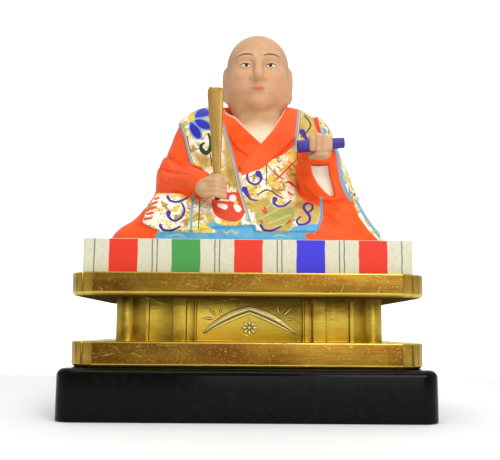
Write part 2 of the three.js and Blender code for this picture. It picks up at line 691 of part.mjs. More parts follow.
const object = new THREE.Group();
object.add(makeLacquerBase(), makeTier('lower_gilt_tier', LOWER_TIER), makeWaist());
object.add(makeTier('upper_gilt_tier', UPPER_TIER), makeMat(), makeFigure());
object.add(piece('baton', batonGeometry(0), BATON_GOLD), piece('scroll', scrollGeometry(0), SCROLL_BLUE));

export default object;
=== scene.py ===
"""A seated altar figure in painted robes, on a striped mat over a gilt and lacquered dais."""

import math

import bpy
import numpy as np
from mathutils import Matrix, Vector


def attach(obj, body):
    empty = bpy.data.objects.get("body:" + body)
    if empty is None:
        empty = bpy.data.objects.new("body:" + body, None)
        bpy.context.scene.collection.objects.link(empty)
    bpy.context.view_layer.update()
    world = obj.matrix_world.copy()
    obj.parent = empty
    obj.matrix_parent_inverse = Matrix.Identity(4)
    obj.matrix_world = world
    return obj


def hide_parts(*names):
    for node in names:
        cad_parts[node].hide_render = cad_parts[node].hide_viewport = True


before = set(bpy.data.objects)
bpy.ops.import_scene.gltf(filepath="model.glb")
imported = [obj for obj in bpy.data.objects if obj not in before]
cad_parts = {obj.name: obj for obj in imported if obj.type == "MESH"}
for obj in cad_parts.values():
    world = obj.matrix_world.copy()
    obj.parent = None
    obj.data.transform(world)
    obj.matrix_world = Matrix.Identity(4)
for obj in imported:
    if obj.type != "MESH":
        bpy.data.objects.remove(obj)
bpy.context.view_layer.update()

bl_info = {
    "name": "Seated altar figure",
    "version": (1, 0, 0),
    "blender": (4, 5, 0),
    "location": "3D View > Sidebar > Altar figure",
    "description": "Builds a small carved and painted altar figure on its gilt and lacquered dais",
    "category": "Object",
}

# Millimetres are used throughout, and one of them is this many of the scene's metres
MM = 0.001

# Edges sharper than this many degrees stay sharp on plain pieces, and on those with softened edges
SHARP = {"plain": 35, "softened": 40}

# The dais, from the ground up
BASE = {
    "width": 125, "depth": 100, "bottom": 0, "top": 17, "corner": 6, "rounding": 2.5,
    "ease": 0.4, "steps": 10,
}
LOWER_TIER = {"width": 119, "depth": 92, "bottom": 17, "top": 25.5}
WAIST = {"width": 93.6, "depth": 64, "bottom": 25.5, "top": 40.7, "shift": 0.6}
UPPER_TIER = {"width": 120, "depth": 92, "bottom": 40.7, "top": 48.5}
MAT = {"width": 112, "depth": 83, "bottom": 48.5, "top": 60.2, "rounding": 0.8, "steps": 4}
SEAT = MAT["top"]

# The mat's stripes: their pitch and width, and the pair of thin lines between two of them
STRIPE = {"pitch": 21.2, "width": 9.7, "line_gap": 0.8, "last_line": 53.2}

# The tiers' indented corners: each point is how far along and how far in from the slab's corner
NOTCH = [(8.6, 0), (5.2, 1.9), (4.8, 3.0), (4.3, 2.7)]
TIER_CHAMFER = 0.9

# How wide a sheet of gold leaf was laid
LEAF_SHEET = 17

# The waist's half-widths along its face, and how far each part stands behind the slab's front
FACE = {"panel": 18.4, "frame": 22.0, "post": 26.8, "bay": 34.8, "strip": 36.4, "facet": 40.2}
SETBACK = {"panel": 1.9, "post": 0, "bay": 1.1, "strip": 0.5, "facet": 2.8}
CORNER_POST_RADIUS = 3.6

# The face's profile: a place along it and how much further, a setback and how much deeper
FACE_PROFILE = [
    ("panel", 0, "panel", 0), ("panel", 0.25, "bay", 0), ("panel", 0.75, "bay", 0),
    ("panel", 1, "bay", 0.45), ("frame", -0.2, "bay", 0.45), ("frame", 0, "post", 0.2),
    ("frame", 0.3, "post", 0), ("post", -0.2, "post", 0), ("post", 0, "post", 0.25),
    ("post", 0.1, "bay", 0.2), ("bay", 0, "bay", 0.2), ("bay", 0.3, "strip", 0),
    ("strip", 0, "strip", 0), ("facet", 0, "facet", 0),
]

# The carved panel: a leaf's upper and lower edges bend from tip to peak
LEAF_UPPER = [(16.3, 3.1), (9.4, 11.3), (0, 12.4)]
LEAF_LOWER = [(15.9, 2.6), (7.0, 6.7), (0, 9.7)]

# How finely a leaf is divided, its height at the tip, how fast it rises and how deep it is let in
LEAF = {"steps": (40, 24), "tip_height": 0.35, "rise": 3, "root": 1.2}

# A leaf's heights, as (share of the way from its lower edge to its upper one, height)
LEAF_SECTION = [
    (0, 0), (0.06, 0.66), (0.2, 0.8), (0.27, 0.3), (0.42, 0.3),
    (0.5, 0.98), (0.62, 1.1), (0.88, 0.8), (1, 0),
]
RAYS = [((12.4, 7.9), (17.0, 8.1)), ((11.6, 8.8), (14.8, 12.0)), ((10.4, 9.6), (9.6, 12.4))]

# A ray's layers are (share of its width, height), and it is widest at a share of its length
RAY = {"width": 1.1, "widest": 0.35, "layers": ((1, -0.5), (1, 0.1), (0.2, 0.6))}
FLOWER = {
    "height": 4.9, "petals": 8, "reach": 1.65, "size": (0.52, 1.15, 0.55), "petal_tilt": 0.12,
    "petal_front": 0.1, "heart": 0.7, "heart_front": 0.3,
}
PANEL_FRONT = -WAIST["depth"] / 2 + SETBACK["panel"]

# The figure. Its own heights are measured up from the mat.
# A ball has a centre and three radii, and a limb has two ends and its radius at each.
BALLS = {
    "hips": ((1, 4, 6), (36, 22, 20)),
    "lap": ((0.5, -15, 1), (36, 22.5, 17)),
    "right_knee": ((-33, -12, -1), (19.6, 19, 12.8)),
    "left_knee": ((33.5, -12, -2), (18.6, 20, 18)),
    "belly": ((2, -3, 21), (20, 17.5, 16)),
}
LIMBS = {
    "trunk": ((2, 6, 12), (2.6, 3, 42), (24, 16)),
    "shoulders": ((-13, 3, 46.2), (14, 3, 46.2), (12.2, 12.2)),
    "right_thigh": ((-8, -9, 9), (-29, -19, 8.2), (11, 11)),
    "left_thigh": ((10, -8, 9), (32, -17, 7.6), (11, 11.5)),
    "right_upper_arm": ((-17, 2, 44), (-25, -2, 28.5), (13.2, 11.6)),
    "right_skirt": ((-23.5, -2, 26), (-29.4, -6, 6), (10, 14.2)),
    "right_forearm": ((-26.5, -7, 25), (-17.5, -27, 22.2), (8.8, 4.6)),
    "left_upper_arm": ((21.2, 2, 43.6), (27, 0, 28.5), (12.9, 12)),
    "left_skirt": ((27, 0, 27), (34.5, -3, 8), (12, 13.8)),
    "left_forearm": ((28, -6, 29), (26, -26, 32), (9, 6)),
    "left_sleeve": ((26.5, -18.5, 29), (30, -18.5, 18.5), (8.8, 9.4)),
}

ARM_PARTS = ("right_forearm", "left_forearm", "left_sleeve")

# The order in which the body's forms run together, and how softly each joins the ones before it
BODY_JOINS = {
    "lap": 8, "right_knee": 6, "left_knee": 6, "torso": 6, "right_thigh": 5, "left_thigh": 5,
    "shoulders": 7, "right_skirt": 5, "right_upper_arm": 3.5, "left_upper_arm": 3.5, "left_skirt": 4,
}

# The head, with x measured from the face's middle line
FACE_MIDDLE = 3.6
HEAD = {
    "cranium": ((0, 2.4, 76.3), (12.7, 15, 13.1)),
    "face": ((0, -2, 66.2), (11.8, 12.2, 11.6)),
    "jowls": ((0, -1.5, 62), (12.2, 10.5, 7.8)),
    "cheek": ((6, -8.3, 67.5), (4.6, 4.4, 5)),
    "chin": ((0, -11.3, 57.8), (4, 2.8, 2.9)),
    "socket": ((4.9, -14.8, 72.5), (3, 2.2, 2)),
    "eye": ((4.9, -10.9, 72.2), (2.9, 2.7, 2.3)),
    "nostril": ((2, -14.2, 66.4), (1.4, 1.7, 1.3)),
    "muzzle": ((0, -11.6, 62.4), (4.6, 3, 3.6)),
    "upper_lip": ((0, -14.2, 62.9), (3.5, 1.2, 0.85)),
    "lower_lip": ((0, -14, 61.3), (2.9, 1.25, 0.95)),
    "ear": ((13, 1.5, 70.5), (1.6, 3.3, 5.4)),
    "lobe": ((12.9, 0.6, 64.2), (1.3, 1.9, 3.2)),
    "ear_hollow": ((14.7, 0.3, 70.6), (0.75, 1.7, 3.1)),
}
BROW = ((1.8, -12.7, 75.2), (7.4, -10.6, 76.2), (1.15, 0.8))
NOSE = ((0, -12.6, 74.4), (0, -16.2, 66.9), (1.3, 1.9))
NECK = ((0, 2, 60), (0.8, -2.5, 41), (9.8, 11))
HEAD_JOINS = {
    "face": 5, "jowls": 5, "neck": 2, "cheek": 4, "chin": 3, "brow": 3, "socket": 2.4, "eye": 0.6,
    "nose": 1.6, "nostril": 1, "muzzle": 2, "upper_lip": 0.5, "lower_lip": 0.5, "ear": 1.2,
    "lobe": 1.2, "ear_hollow": 0.5,
}
HEAD_HOLLOWS = ("socket", "ear_hollow")

# The cheek's blush, and the shaved scalp's greyer tint, whose side slope also paints shade on the sides of
# the face: where each of its slopes starts, its length and its strength
BLUSH = {"out": 7, "up": 66.5, "reach": 3}
SCALP_AND_SIDE_SHADE = {"back": (-6, 10, 1), "crown": (78.5, 6, 0.35), "side": (8.5, 3, 0.8), "foot": (66, 9, 1)}

# The painted features, as brush strokes of (out from the middle line, up, half-width)
FEATURES = {
    "lips": [
        [(0.3, 62.5, 0.5), (1.2, 62.55, 0.5), (2.6, 62.15, 0.12)],
        [(0, 61.5, 0.62), (1.2, 61.6, 0.5), (2.2, 61.9, 0.12)],
    ],
    "mouth": [[(0, 62.05, 0.14), (1.6, 62.1, 0.14), (3.1, 62.2, 0.1)]],
    "eye": [[(3.2, 72, 0.2), (4.9, 72.1, 0.62), (6.7, 72.1, 0.2)]],
    "iris": [[(4.75, 72.15, 0.72)]],
    "lash": [[(2.8, 71.9, 0.12), (3.6, 72.5, 0.24), (4.9, 72.8, 0.28), (6.3, 72.6, 0.26), (7.3, 72.1, 0.14)]],
    "brow": [[(2, 76, 0.2), (4, 76.9, 0.42), (6.4, 77, 0.4), (8.7, 76, 0.12)]],
    "lid": [[(3.2, 74, 0.1), (5, 74.5, 0.17), (6.9, 74, 0.1)]],
}
FEATURE_COLOURS = {
    "lips": (206, 120, 98), "mouth": (140, 74, 60), "eye": (232, 218, 200), "iris": (44, 32, 28),
    "lash": (56, 40, 34), "brow": (84, 68, 58), "lid": (178, 128, 96),
}

# Garment edges in front lie on an upright board before the chest, as an eye straight ahead sees
# them. Each outline is (across, up) on that board.
EYE = (-2.1, -290, -30.6)
BOARD_Y = -20
TURN_Y = 1
THROAT = [
    (-9.5, 54), (-8.7, 50.7), (-4.9, 48.7), (-0.7, 44.4), (4.6, 39.4), (8.7, 44.3), (12.1, 49.8),
    (14.7, 55.5),
]
OVER_COLLAR = [
    (14.7, 56), (12.1, 50), (9, 45.4), (4.6, 39.4), (0.5, 35.2), (-3.4, 30.1),
    (-2.6, 26.6), (5, 29.4), (12.4, 36), (18, 42), (20.3, 54),
]
UNDER_COLLAR = [
    (-11.6, 55), (-8.7, 50.7), (-4.9, 48.7), (-0.7, 44.4), (4.6, 39.4),
    (0.2, 34), (-4.8, 37.2), (-8.6, 43.6), (-10.9, 50.7),
]
SHOULDER_PANEL = [
    (-30, 50), (-25.9, 44.8), (-24.4, 40.4), (-23.2, 35.4), (-21.8, 30.2), (-18, 29.5), (-15.6, 26.9),
    (-14.4, 22), (-9, 13), (1.4, 8.6), (-0.9, 15.8), (-2.6, 21.5), (-3.8, 26.8), (-5.1, 32.5),
    (-7.5, 40.6), (-9.8, 47.2), (-10.3, 53.5), (-14, 62), (-30, 62),
]
KNEE_PANEL = [
    (-34.2, 19.6), (-37.5, 13.6), (-39.4, 8.5), (-33.4, 5.6), (-21.5, 5.5), (-12, 7), (2.2, 7.8),
    (1, 12), (-8, 20), (-14, 19), (-18.3, 20.2), (-26, 19.6),
]
STOLE = [
    (-4, 27.6), (0.5, 29), (8, 32.3), (13.6, 35.4), (17, 38.6), (17.8, 45.1), (18.5, 52), (18, 62),
    (60, 62), (60, 18), (39.8, 17.8), (26.3, 18.4), (27.4, 12), (25.5, 5.7), (2.5, 5.7), (1, 9.8),
    (-1.4, 15.8), (-3.2, 21.5),
]
SLEEVE_RIM = [
    (18.2, 36), (18.6, 30.9), (20, 25.2), (22.6, 21), (26.3, 17.6), (31.9, 17.2),
    (36.8, 18.2), (36.1, 22), (34.9, 28.4), (33.8, 36.8), (27, 40),
]
# The sleeve's mouth is cut in, and painted a deeper red as painted shadow where its lining doesn't reach
SLEEVE_MOUTH = [
    (23.3, 31.5), (24.1, 27.3), (26, 23.6), (28.6, 20.5), (30.4, 19),
    (32.1, 19), (31.4, 23), (30.3, 27.2), (29.8, 31.5),
]
SLEEVE_LINING = [
    (23.3, 30.6), (24.2, 27), (26.1, 23.5), (28.6, 20.7), (30.4, 19.2), (31.9, 19.2), (31.2, 23), (30.1, 27),
    (29.7, 30.8), (26.6, 30.4),
]
OUTER_STOLE = [(33.7, 38), (34.7, 30), (35.5, 25.3), (37.2, 20.6), (39.1, 17.8), (48, 17.8), (48, 38)]
BACK_STOLE = [(-33, 6.5), (-26, 14), (-23.5, 30), (-22.5, 47), (-24, 62), (60, 62), (60, 6.5)]

# The plain collar behind the neck, and the heights between which the neck is painted paler towards its foot
COLLAR_RING = {"centre": (3, 1), "reach": 14, "bottom": 47}
NECK_PALING = {"bottom": 45.5, "top": 50.5}

# What is written for a point that a painted area doesn't reach
OUTSIDE = -9

# How high each cloth lies, how softly its edges rise, and how softly the arms join the body
LIFT = {"throat": -2.6, "over_collar": 1.2, "under_collar": 0.6, "stole": 0.9, "rim": 0.7, "mouth": -2.6}
CLOTH_EDGE = 0.5
MOUTH_EDGE = 1.1
MOUTH_FRONT = {"cut": -18.5, "ease": 0.8, "paint": -16}
ARM_JOINS = {"right": 1.2, "left": 1.0, "sleeve": 3}

# Folds cut in the cloth: the points (across, up, half-width) of each, and its depth
FOLDS = [
    ([(-32.5, 36.4, 0.2), (-28.5, 31.8, 1.5), (-23, 30, 0.2)], 1.0),
    ([(-34.5, 30.4, 0.2), (-30, 27.5, 1.4), (-21, 26.6, 0.2)], 0.8),
    ([(-35, 24.8, 0.2), (-30, 23.3, 1.4), (-21, 22, 0.2)], 0.7),
    ([(-27.4, 42, 0.2), (-30.5, 35, 1.3), (-31.5, 29, 0.2)], 0.6),
    ([(24, 13.5, 0.2), (30, 11, 1.8), (36, 6, 0.3)], 1.0),
    ([(28, 17.5, 0.2), (35.5, 12.5, 1.8), (42.5, 5, 0.3)], 0.9),
    ([(34, 15.5, 0.2), (40.5, 10.5, 1.6), (46.5, 3, 0.3)], 0.8),
    ([(-37, 10, 0.2), (-41.5, 6.5, 1.6), (-47, 2.5, 0.3)], 0.7),
    ([(-30, 12.5, 0.2), (-37.5, 14.5, 0.9), (-40, 13, 0.2)], 0.3),
]

# The brocade's border, and where it runs
BORDER = {"blue": 0.8, "gold": 1.1, "line": 1.3}
BORDER_LINES = [
    [(-26.5, 46.5), (-24.4, 40.4), (-21.8, 30.2)],
    [(-12, 58), (-9.8, 47.2), (-5.1, 32.5), (-2.6, 21.5), (1.4, 8.6)],
    [(18.5, 56), (17.8, 45.1), (17, 38.6)],
]
BORDER_PARTING = 12

# How far a surface may turn from the front and still be painted, and what counts as a side
FACING = {"front": 0.35, "edge": 0.93, "side": 0.75}

# Painted areas on the board, each the outline of one colour
HEM = [
    (-33.4, 0), (-33.2, 4.9), (-21.2, 5.0), (-15.2, 4.9), (-11.4, 5.3), (-14.9, 7.6), (-13.1, 9.2),
    (-10.4, 8.1), (-6.2, 7.6), (2.3, 8.2), (3.9, 5.6), (14.5, 5.6), (16.6, 7.3), (25.8, 8.6),
    (25.6, 6.1), (20.8, 4.4), (20, 0),
]
BROCADE_FOOT = [(-33.8, 6.6), (-33.4, 4), (20, 4), (24.6, 6), (25.4, 9), (2, 9.6), (-12, 8.8), (-31, 7)]
FAR_STRIP = [(38.6, 17.9), (41.2, 11.5), (45, 6), (49, 2), (60, 2), (60, 18)]
OLIVE_GROUND = [
    (2.2, 16.3), (6.5, 18), (10.7, 14.5), (17.6, 15.4), (17.2, 10.5), (14.5, 5.8), (7.6, 6), (2.8, 9.3),
]
UMBER_GROUNDS = [
    [(17.8, 27), (26.2, 18.4), (26, 9.2), (18.7, 8.9), (17.2, 15.4)],
    [(-9.3, 44.6), (-5.9, 33.6), (-2.2, 22.8), (-5.5, 22), (-9, 31)],
    [(18.8, 50), (25.5, 49), (27.5, 44), (22, 40), (18.4, 42)],
    [(-21.4, 36), (-19.6, 32.5), (-16, 30), (-15.4, 34.6), (-18.6, 34.8)],
    [(-16.6, 12.6), (-14.8, 8.6), (-12.2, 8.8), (-13.4, 12.4)],
]
PETALS = [
    [(-20.6, 48.8), (-19.5, 51.2), (-17.4, 52.3), (-15.2, 51.4), (-14.5, 50.1), (-17.5, 49.2)],
    [(-20.6, 47.7), (-18.5, 48.1), (-15.8, 47), (-14.3, 44.9), (-16.3, 44.4), (-18.9, 45.4)],
    [(-21.9, 46.9), (-20.3, 45.7), (-18.7, 44), (-18.1, 41.3), (-19.6, 40.9), (-21.3, 42.4), (-22.2, 44.6)],
]
RED_DISC = [
    (-13.8, 17.2), (-10.6, 19.6), (-3.7, 20.2), (-1.4, 17.4), (-1.4, 12.2), (-4.1, 9.3), (-8.3, 9.5),
    (-12.6, 12),
]
RED_LEAF = [(24.2, 48.9), (25.9, 49.4), (26.6, 46.2), (27.4, 43.4), (25.8, 43.8), (25, 46.1)]

# Brush strokes: each point is (across, up, half-width), and a flowing line joins them
RING_CURL = [
    (1.2, 1.5, 1.15), (2.4, -0.5, 0.5), (0.6, -2.6, 0.42), (-2, -1.9, 0.42), (-3, 0.6, 0.4), (-1.9, 2.5, 0.3),
]
EIGHT_CURL = [
    (0.9, 0.6, 0.34), (2.4, 2.2, 0.42), (1.9, 3.9, 0.42), (0, 4, 0.45), (-0.9, 2.6, 0.5), (0, 1, 0.5),
    (1.3, -0.7, 0.5), (1.2, -2.5, 0.45), (-0.6, -3.8, 0.42), (-2.9, -3.7, 0.4), (-3.4, -2.2, 0.36),
    (-2, -0.9, 0.28),
]
KNEE_CURL = [
    (2.9, 3.8, 0.3), (4, 1.2, 0.45), (3, -1.5, 0.45), (0.4, -2.9, 0.42), (-1.7, -1.6, 0.5), (-1.9, 0.1, 0.95),
]
ARC_CURL = [(-3.7, 0.9, 0.6), (-2.4, -0.7, 0.42), (0.5, -0.9, 0.45), (3.7, 0.6, 0.35)]
TAIL_CURL = [(-2.2, 2.2, 1.15), (-1.2, 0.4, 0.75), (0.4, -1.6, 0.4), (3, -1.9, 0.25)]
HOOK_CURL = [(-2.4, 1.2, 0.95), (-2.7, -0.4, 0.55), (-0.9, -1.5, 0.42), (1.5, -1.1, 0.4), (3.6, 0.8, 0.28)]
INK_STROKES = [
    (RING_CURL, 2.4, 26), (EIGHT_CURL, 21.5, 12.2), (KNEE_CURL, -27.7, 12.2), (ARC_CURL, -26.4, 17.4),
    (TAIL_CURL, 0.7, 19.2), (HOOK_CURL, 12.3, 16.6), (ARC_CURL, -28.9, 6.6), (ARC_CURL, 8.4, 6.9),
    (HOOK_CURL, 38.9, 25.4), (ARC_CURL, 38.2, 20.4), (TAIL_CURL, 22.3, 41.5),
]
DARK_STROKES = [
    [(3.3, 19.3, 0.22), (6.4, 21.2, 0.32), (8.6, 20.7, 0.24), (10.2, 19.6, 0.32), (12.8, 18, 0.24)],
    [(20.9, 50, 0.24), (22.6, 48, 0.28), (23.3, 46.1, 0.32), (21.8, 43.6, 0.28), (19.8, 41.6, 0.24)],
    [(6.7, 31, 0.22), (6.7, 24, 0.22)],
    [(18.2, 36, 0.24), (18.5, 25.1, 0.24)],
    [(-23.2, 41.5, 0.22), (-21.8, 34, 0.24)],
    [(-14.3, 34.6, 0.24), (-13.9, 30.3, 0.24)],
    [(-18, 19.4, 0.22), (-18.4, 6.4, 0.22)],
]
GREEN_STROKES = [
    [
        (-15.3, 42.6, 0.35), (-14.4, 39.8, 0.6), (-14.5, 36.8, 0.75), (-15.9, 35.1, 0.8),
        (-17.5, 36, 0.75), (-18, 37.8, 0.6), (-16.9, 39, 0.35),
    ],
]
PALE_GREEN_STROKES = [
    [(3.6, 10.2, 0.25), (8.2, 12.4, 0.3), (13.6, 15.6, 0.2)],
    [(4.8, 13.4, 0.2), (7.6, 15.2, 0.28), (10, 16.4, 0.2)],
    [(7.6, 8.6, 0.2), (11.4, 10.2, 0.3), (15.8, 12, 0.2)],
    [(9.5, 7.4, 0.2), (12.6, 8.2, 0.28), (15, 9.6, 0.2)],
]
SCARLET_STROKES = [
    [(6.9, 31, 0.22), (9.6, 27.8, 0.26), (12.8, 25.6, 0.22)],
    [(9.1, 24.5, 0.22), (12.8, 27.5, 0.3), (16, 30.9, 0.28), (17.9, 32.8, 0.22)],
    [(14.7, 32.4, 0.22), (17.6, 29.8, 0.22)],
    [(13.7, 24, 0.22), (15.2, 24.4, 0.4), (16.4, 23.4, 0.5), (17.6, 22.4, 0.22)],
    [(5.2, 13.6, 0.4), (6.6, 12.6, 0.5), (6.1, 14.6, 0.4)],
    [(14.2, 8.6, 0.4), (15.6, 9.6, 0.5)],
    [(14.9, 20.4, 0.35), (16.6, 19.4, 0.3)],
    [(4.4, 9.6, 0.35), (5.4, 8.8, 0.35)],
]
WHITE_STROKES = [
    [(-5.8, 18, 1.35)], [(-10.9, 15.3, 0.7), (-8.7, 14.7, 1.05)], [(-4.6, 15, 0.9), (-3.7, 13.9, 1.15)],
    [(-14.6, 18.3, 0.25), (-11.6, 17.5, 0.32), (-7.4, 17.1, 0.25)],
    [(41.2, 12.4, 0.4), (42.6, 9.2, 0.9), (45, 6.4, 0.5)],
]
YELLOW_STROKES = [[(-21.8, 48.5, 1.35)], [(-4.6, 16.4, 0.75)]]
HEM_STROKES = [
    [(-9.6, 6.2, 0.15), (-8, 4.8, 0.3), (-6.2, 6, 0.25), (-4.6, 4.7, 0.3), (-3.4, 5.8, 0.15)],
    [(-30, 3.4, 0.15), (-26, 4.2, 0.22), (-23, 3.2, 0.15)],
    [(9, 3.6, 0.15), (12, 4.4, 0.22), (15, 3.6, 0.15)],
]
RED_STRIPES = [
    [(-34.8, 17.4, 0.4), (-33.4, 17.9, 0.4)], [(-35.8, 15.6, 0.45), (-34, 16.2, 0.45)],
    [(-36.8, 13.6, 0.45), (-34.8, 14.2, 0.45)], [(-37.6, 11.7, 0.45), (-35.4, 12.2, 0.45)],
    [(-38.4, 9.8, 0.45), (-36, 10.2, 0.4)],
]
SKY_STROKES = [
    [(-20.6, 19, 0.5), (-21, 12, 0.45), (-21.2, 4.8, 0.5)],
    [(27.1, 18.4, 0.5), (27.3, 12, 0.5), (26.1, 8.2, 0.5), (24.4, 5.2, 0.5)],
    [(27.6, 45.2, 0.4), (28.8, 43.9, 0.8), (27.6, 43.2, 0.5)],
    [(33.2, 37.6, 0.7), (34.2, 30, 0.7), (35, 25.3, 0.7), (36.7, 20.6, 0.7), (38.6, 17.8, 0.6)],
    [(40.2, 17.6, 0.5), (43.4, 11.6, 0.5), (48.5, 4.2, 0.5)],
]

# Ornament on the back, whose places are (across, up) seen square on, and on the sides, where
# they are (back, up)
BACK_CURLS = [
    (RING_CURL, -12, 40), (EIGHT_CURL, 2, 34), (RING_CURL, 15, 41), (HOOK_CURL, -9, 27), (KNEE_CURL, 20, 28),
    (EIGHT_CURL, -15, 15), (TAIL_CURL, 5, 19), (RING_CURL, 21, 13), (ARC_CURL, -3, 9), (KNEE_CURL, 33, 14),
]
SIDE_CURLS = [(KNEE_CURL, 14, 15), (RING_CURL, 6, 33), (EIGHT_CURL, 13, 26)]

# The net of cubes that the robe is drawn on, and how near the form its distances are worked out
ROBE_STEP = 0.72
ROBE_LOW = (-55, -42, -1.3)
ROBE_HIGH = (55, 34, 62)
NET_BAND = 4

# How a point is settled: the reach its slope is taken over, the least slope and the longest move
SETTLE = {"reach": 0.04, "least_slope": 0.2, "longest_move": 0.5}

# The part of the robe that is divided further, and how finely the head is divided
FINE_FRONT = {"back": -4, "bottom": 0.5, "left": -38, "right": 34}
HEAD_COLUMNS = 320
HEAD_ROWS = 230
HEAD_CROWDING = 0.55

# The head's points are found along rays from a slanting line inside it, from neck to crown
HEAD_CORE = {"start": (-1, 46), "rise": (3, 32), "reach": 40, "rounds": 60}

# The fists: each finger runs through its points, and a hand's fingers share one radius
RIGHT_FIST = {
    "finger_radius": 1.08,
    "palm": ((-15, -31.4, 19.5), (4.1, 3.7, 3.8)),
    "wrist": ((-16.5, -29, 20.6), (-20, -23, 22.2), 3.3),
    "fingers": [
        [(-15.4, -33.8, height), (-11.7, -35.6, height - 0.25), (-8.7, -33.9, height - 0.5)]
        for height in (21.7, 20, 18.3, 16.7)
    ],
    "thumb": [(-14.6, -32.4, 22.6), (-11.4, -35, 23.1), (-9.3, -34.8, 22.5)],
}
LEFT_FIST = {
    "finger_radius": 1.22,
    "palm": ((25.6, -30.8, 33.6), (4.4, 3.6, 4.2)),
    "wrist": ((25.8, -28.6, 34), (26, -22, 33), 2.9),
    "fingers": [
        [(place, -33, 38.3 - drop), (place, -37.2 + drop, 36.9 - drop), (place, -36.9 + drop, 32.8 + drop)]
        for place, drop in ((22.4, 0.5), (24.4, 0), (26.4, 0.1), (28.3, 0.7))
    ],
    "thumb": [(22.4, -32.4, 31.2), (24.4, -35.8, 31.4), (27, -36, 31.2)],
}
HAND_VOXEL = 0.24
HAND_SMOOTHING = {"factor": 0.5, "iterations": 2}

# The baton's sections, as a centre, a width and a depth, and the scroll's two ends
BATON = [
    ((-11.1, -33, 15), 2.2, 1.7),
    ((-11.4, -33, 24.5), 2.6, 1.9),
    ((-12.3, -31.6, 54.4), 6, 3),
    ((-12.3, -31.5, 55.8), 5.7, 2.7),
    ((-12.3, -31.5, 56.5), 4.9, 2.1),
]
BATON_SECTION = [
    (-0.55, -1), (0.55, -1), (0.88, -0.75), (1, -0.3), (1, 0.5), (0.7, 1), (-0.7, 1), (-1, 0.5),
    (-1, -0.3), (-0.88, -0.75),
]
SCROLL_ENDS = ((17.3, -34.6, 34.2), (33.9, -33.6, 36.1))
SCROLL_RADII = (2.3, 1.9)

# How far in and how far out each step of the scroll's rolled ends is
SCROLL_INSETS = ((0.5, 0), (0.3, -0.5), (0.5, 0.3))

# The camera stands where the photograph's did
CAMERA_PLACE = (-2.137, -289.98, 29.6)
CAMERA_AZIMUTH = -0.6
CAMERA_PITCH = 7.74
CAMERA_ROLL = 0.45
CAMERA_LENS = 52.96

# The floor's size, the height of the backdrop that it bends up into, and the bend, in metres
FLOOR = {"size": 6, "height": 3.5, "bend": 1.2}

# The lights, with places and sizes in metres
LIT_PLACE = (0, 0, 0.07)
WHITE = (1, 1, 1)
LIGHTS = {
    "key": {"place": (0.4, -0.9, 0.55), "size": (0.5, 0.5), "watts": 4.8, "tint": (1, 0.98, 0.95)},
    "fill": {"place": (0.15, -1, 0.16), "size": (0.5, 0.3), "watts": 1.1, "tint": (0.98, 0.99, 1)},
    "top": {"place": (0, 0.1, 0.9), "size": (0.9, 0.7), "watts": 2.4, "tint": WHITE},
    "edge": {"place": (0, -0.3, 0.65), "size": (0.5, 0.015), "watts": 0.9, "tint": WHITE},
    "backdrop": {
        "place": (0, 0.35, 0.9), "size": (2, 0.8), "watts": 70, "tint": WHITE, "target": (0, 3, 0.4),
    },
}

# The studio's own light rises from its darker part behind the camera to the rest
STUDIO = {"From Min": -0.95, "From Max": -0.5, "To Min": 0.34, "To Max": 0.52}
STUDIO_TINT = (0.98, 0.99, 1, 1)


# Help with objects

def deselect():
    if bpy.context.object and bpy.context.object.mode != "OBJECT":
        bpy.ops.object.mode_set(mode="OBJECT")
    bpy.ops.object.select_all(action="DESELECT")


def choose(piece):
    """Makes one object the only selected one, and the active one."""
    deselect()
    piece.select_set(True)
    bpy.context.view_layer.objects.active = piece
    return piece


def settle(piece):
    """Puts a piece's place into its mesh, so that its object sits at the origin."""
    choose(piece)
    bpy.ops.object.transform_apply(location=True, rotation=True, scale=True)
    return piece


def finish_with(piece, kind, **settings):
    """Adds a modifier, and applies it."""
    choose(piece)
    modifier = piece.modifiers.new(kind.title(), kind)
    for key, value in settings.items():
        setattr(modifier, key, value)
    bpy.ops.object.modifier_apply(modifier=modifier.name)
    return piece


def shade(piece, angle=180):
    """Shades a piece smooth, except over edges sharper than an angle in degrees."""
    choose(piece)
    if angle < 180:
        bpy.ops.object.shade_smooth_by_angle(angle=math.radians(angle))
    else:
        bpy.ops.object.shade_smooth()
    return piece


def reshape(piece, step, **settings):
    """Takes one edit-mode step on all of a piece's mesh."""
    choose(piece)
    bpy.ops.object.mode_set(mode="EDIT")
    bpy.ops.mesh.select_all(action="SELECT")
    step(**settings)
    bpy.ops.object.mode_set(mode="OBJECT")
    return piece


def soften_edges(piece, width, angle=28):
    """Rounds a piece's sharp edges by a width in metres, and shades the rest smooth."""
    finish_with(
        piece, "BEVEL", width=width, segments=2,
        limit_method="ANGLE", angle_limit=math.radians(angle), harden_normals=False,
    )
    return shade(piece, SHARP["softened"])


def join(pieces, name):
    deselect()
    for piece in pieces:
        piece.select_set(True)
    bpy.context.view_layer.objects.active = pieces[0]
    bpy.ops.object.join()
    bpy.context.object.name = name
    return bpy.context.object


def add_ball(centre, radii, turn=(0, 0, 0), segments=24, rings=16):
    """A ball stretched to three radii, turned, and put at its centre."""
    deselect()
    bpy.ops.mesh.primitive_uv_sphere_add(segments=segments, ring_count=rings, radius=MM)
    piece = bpy.context.object
    piece.scale = radii
    piece.rotation_euler = turn
    piece.location = [value * MM for value in centre]
    return settle(piece)


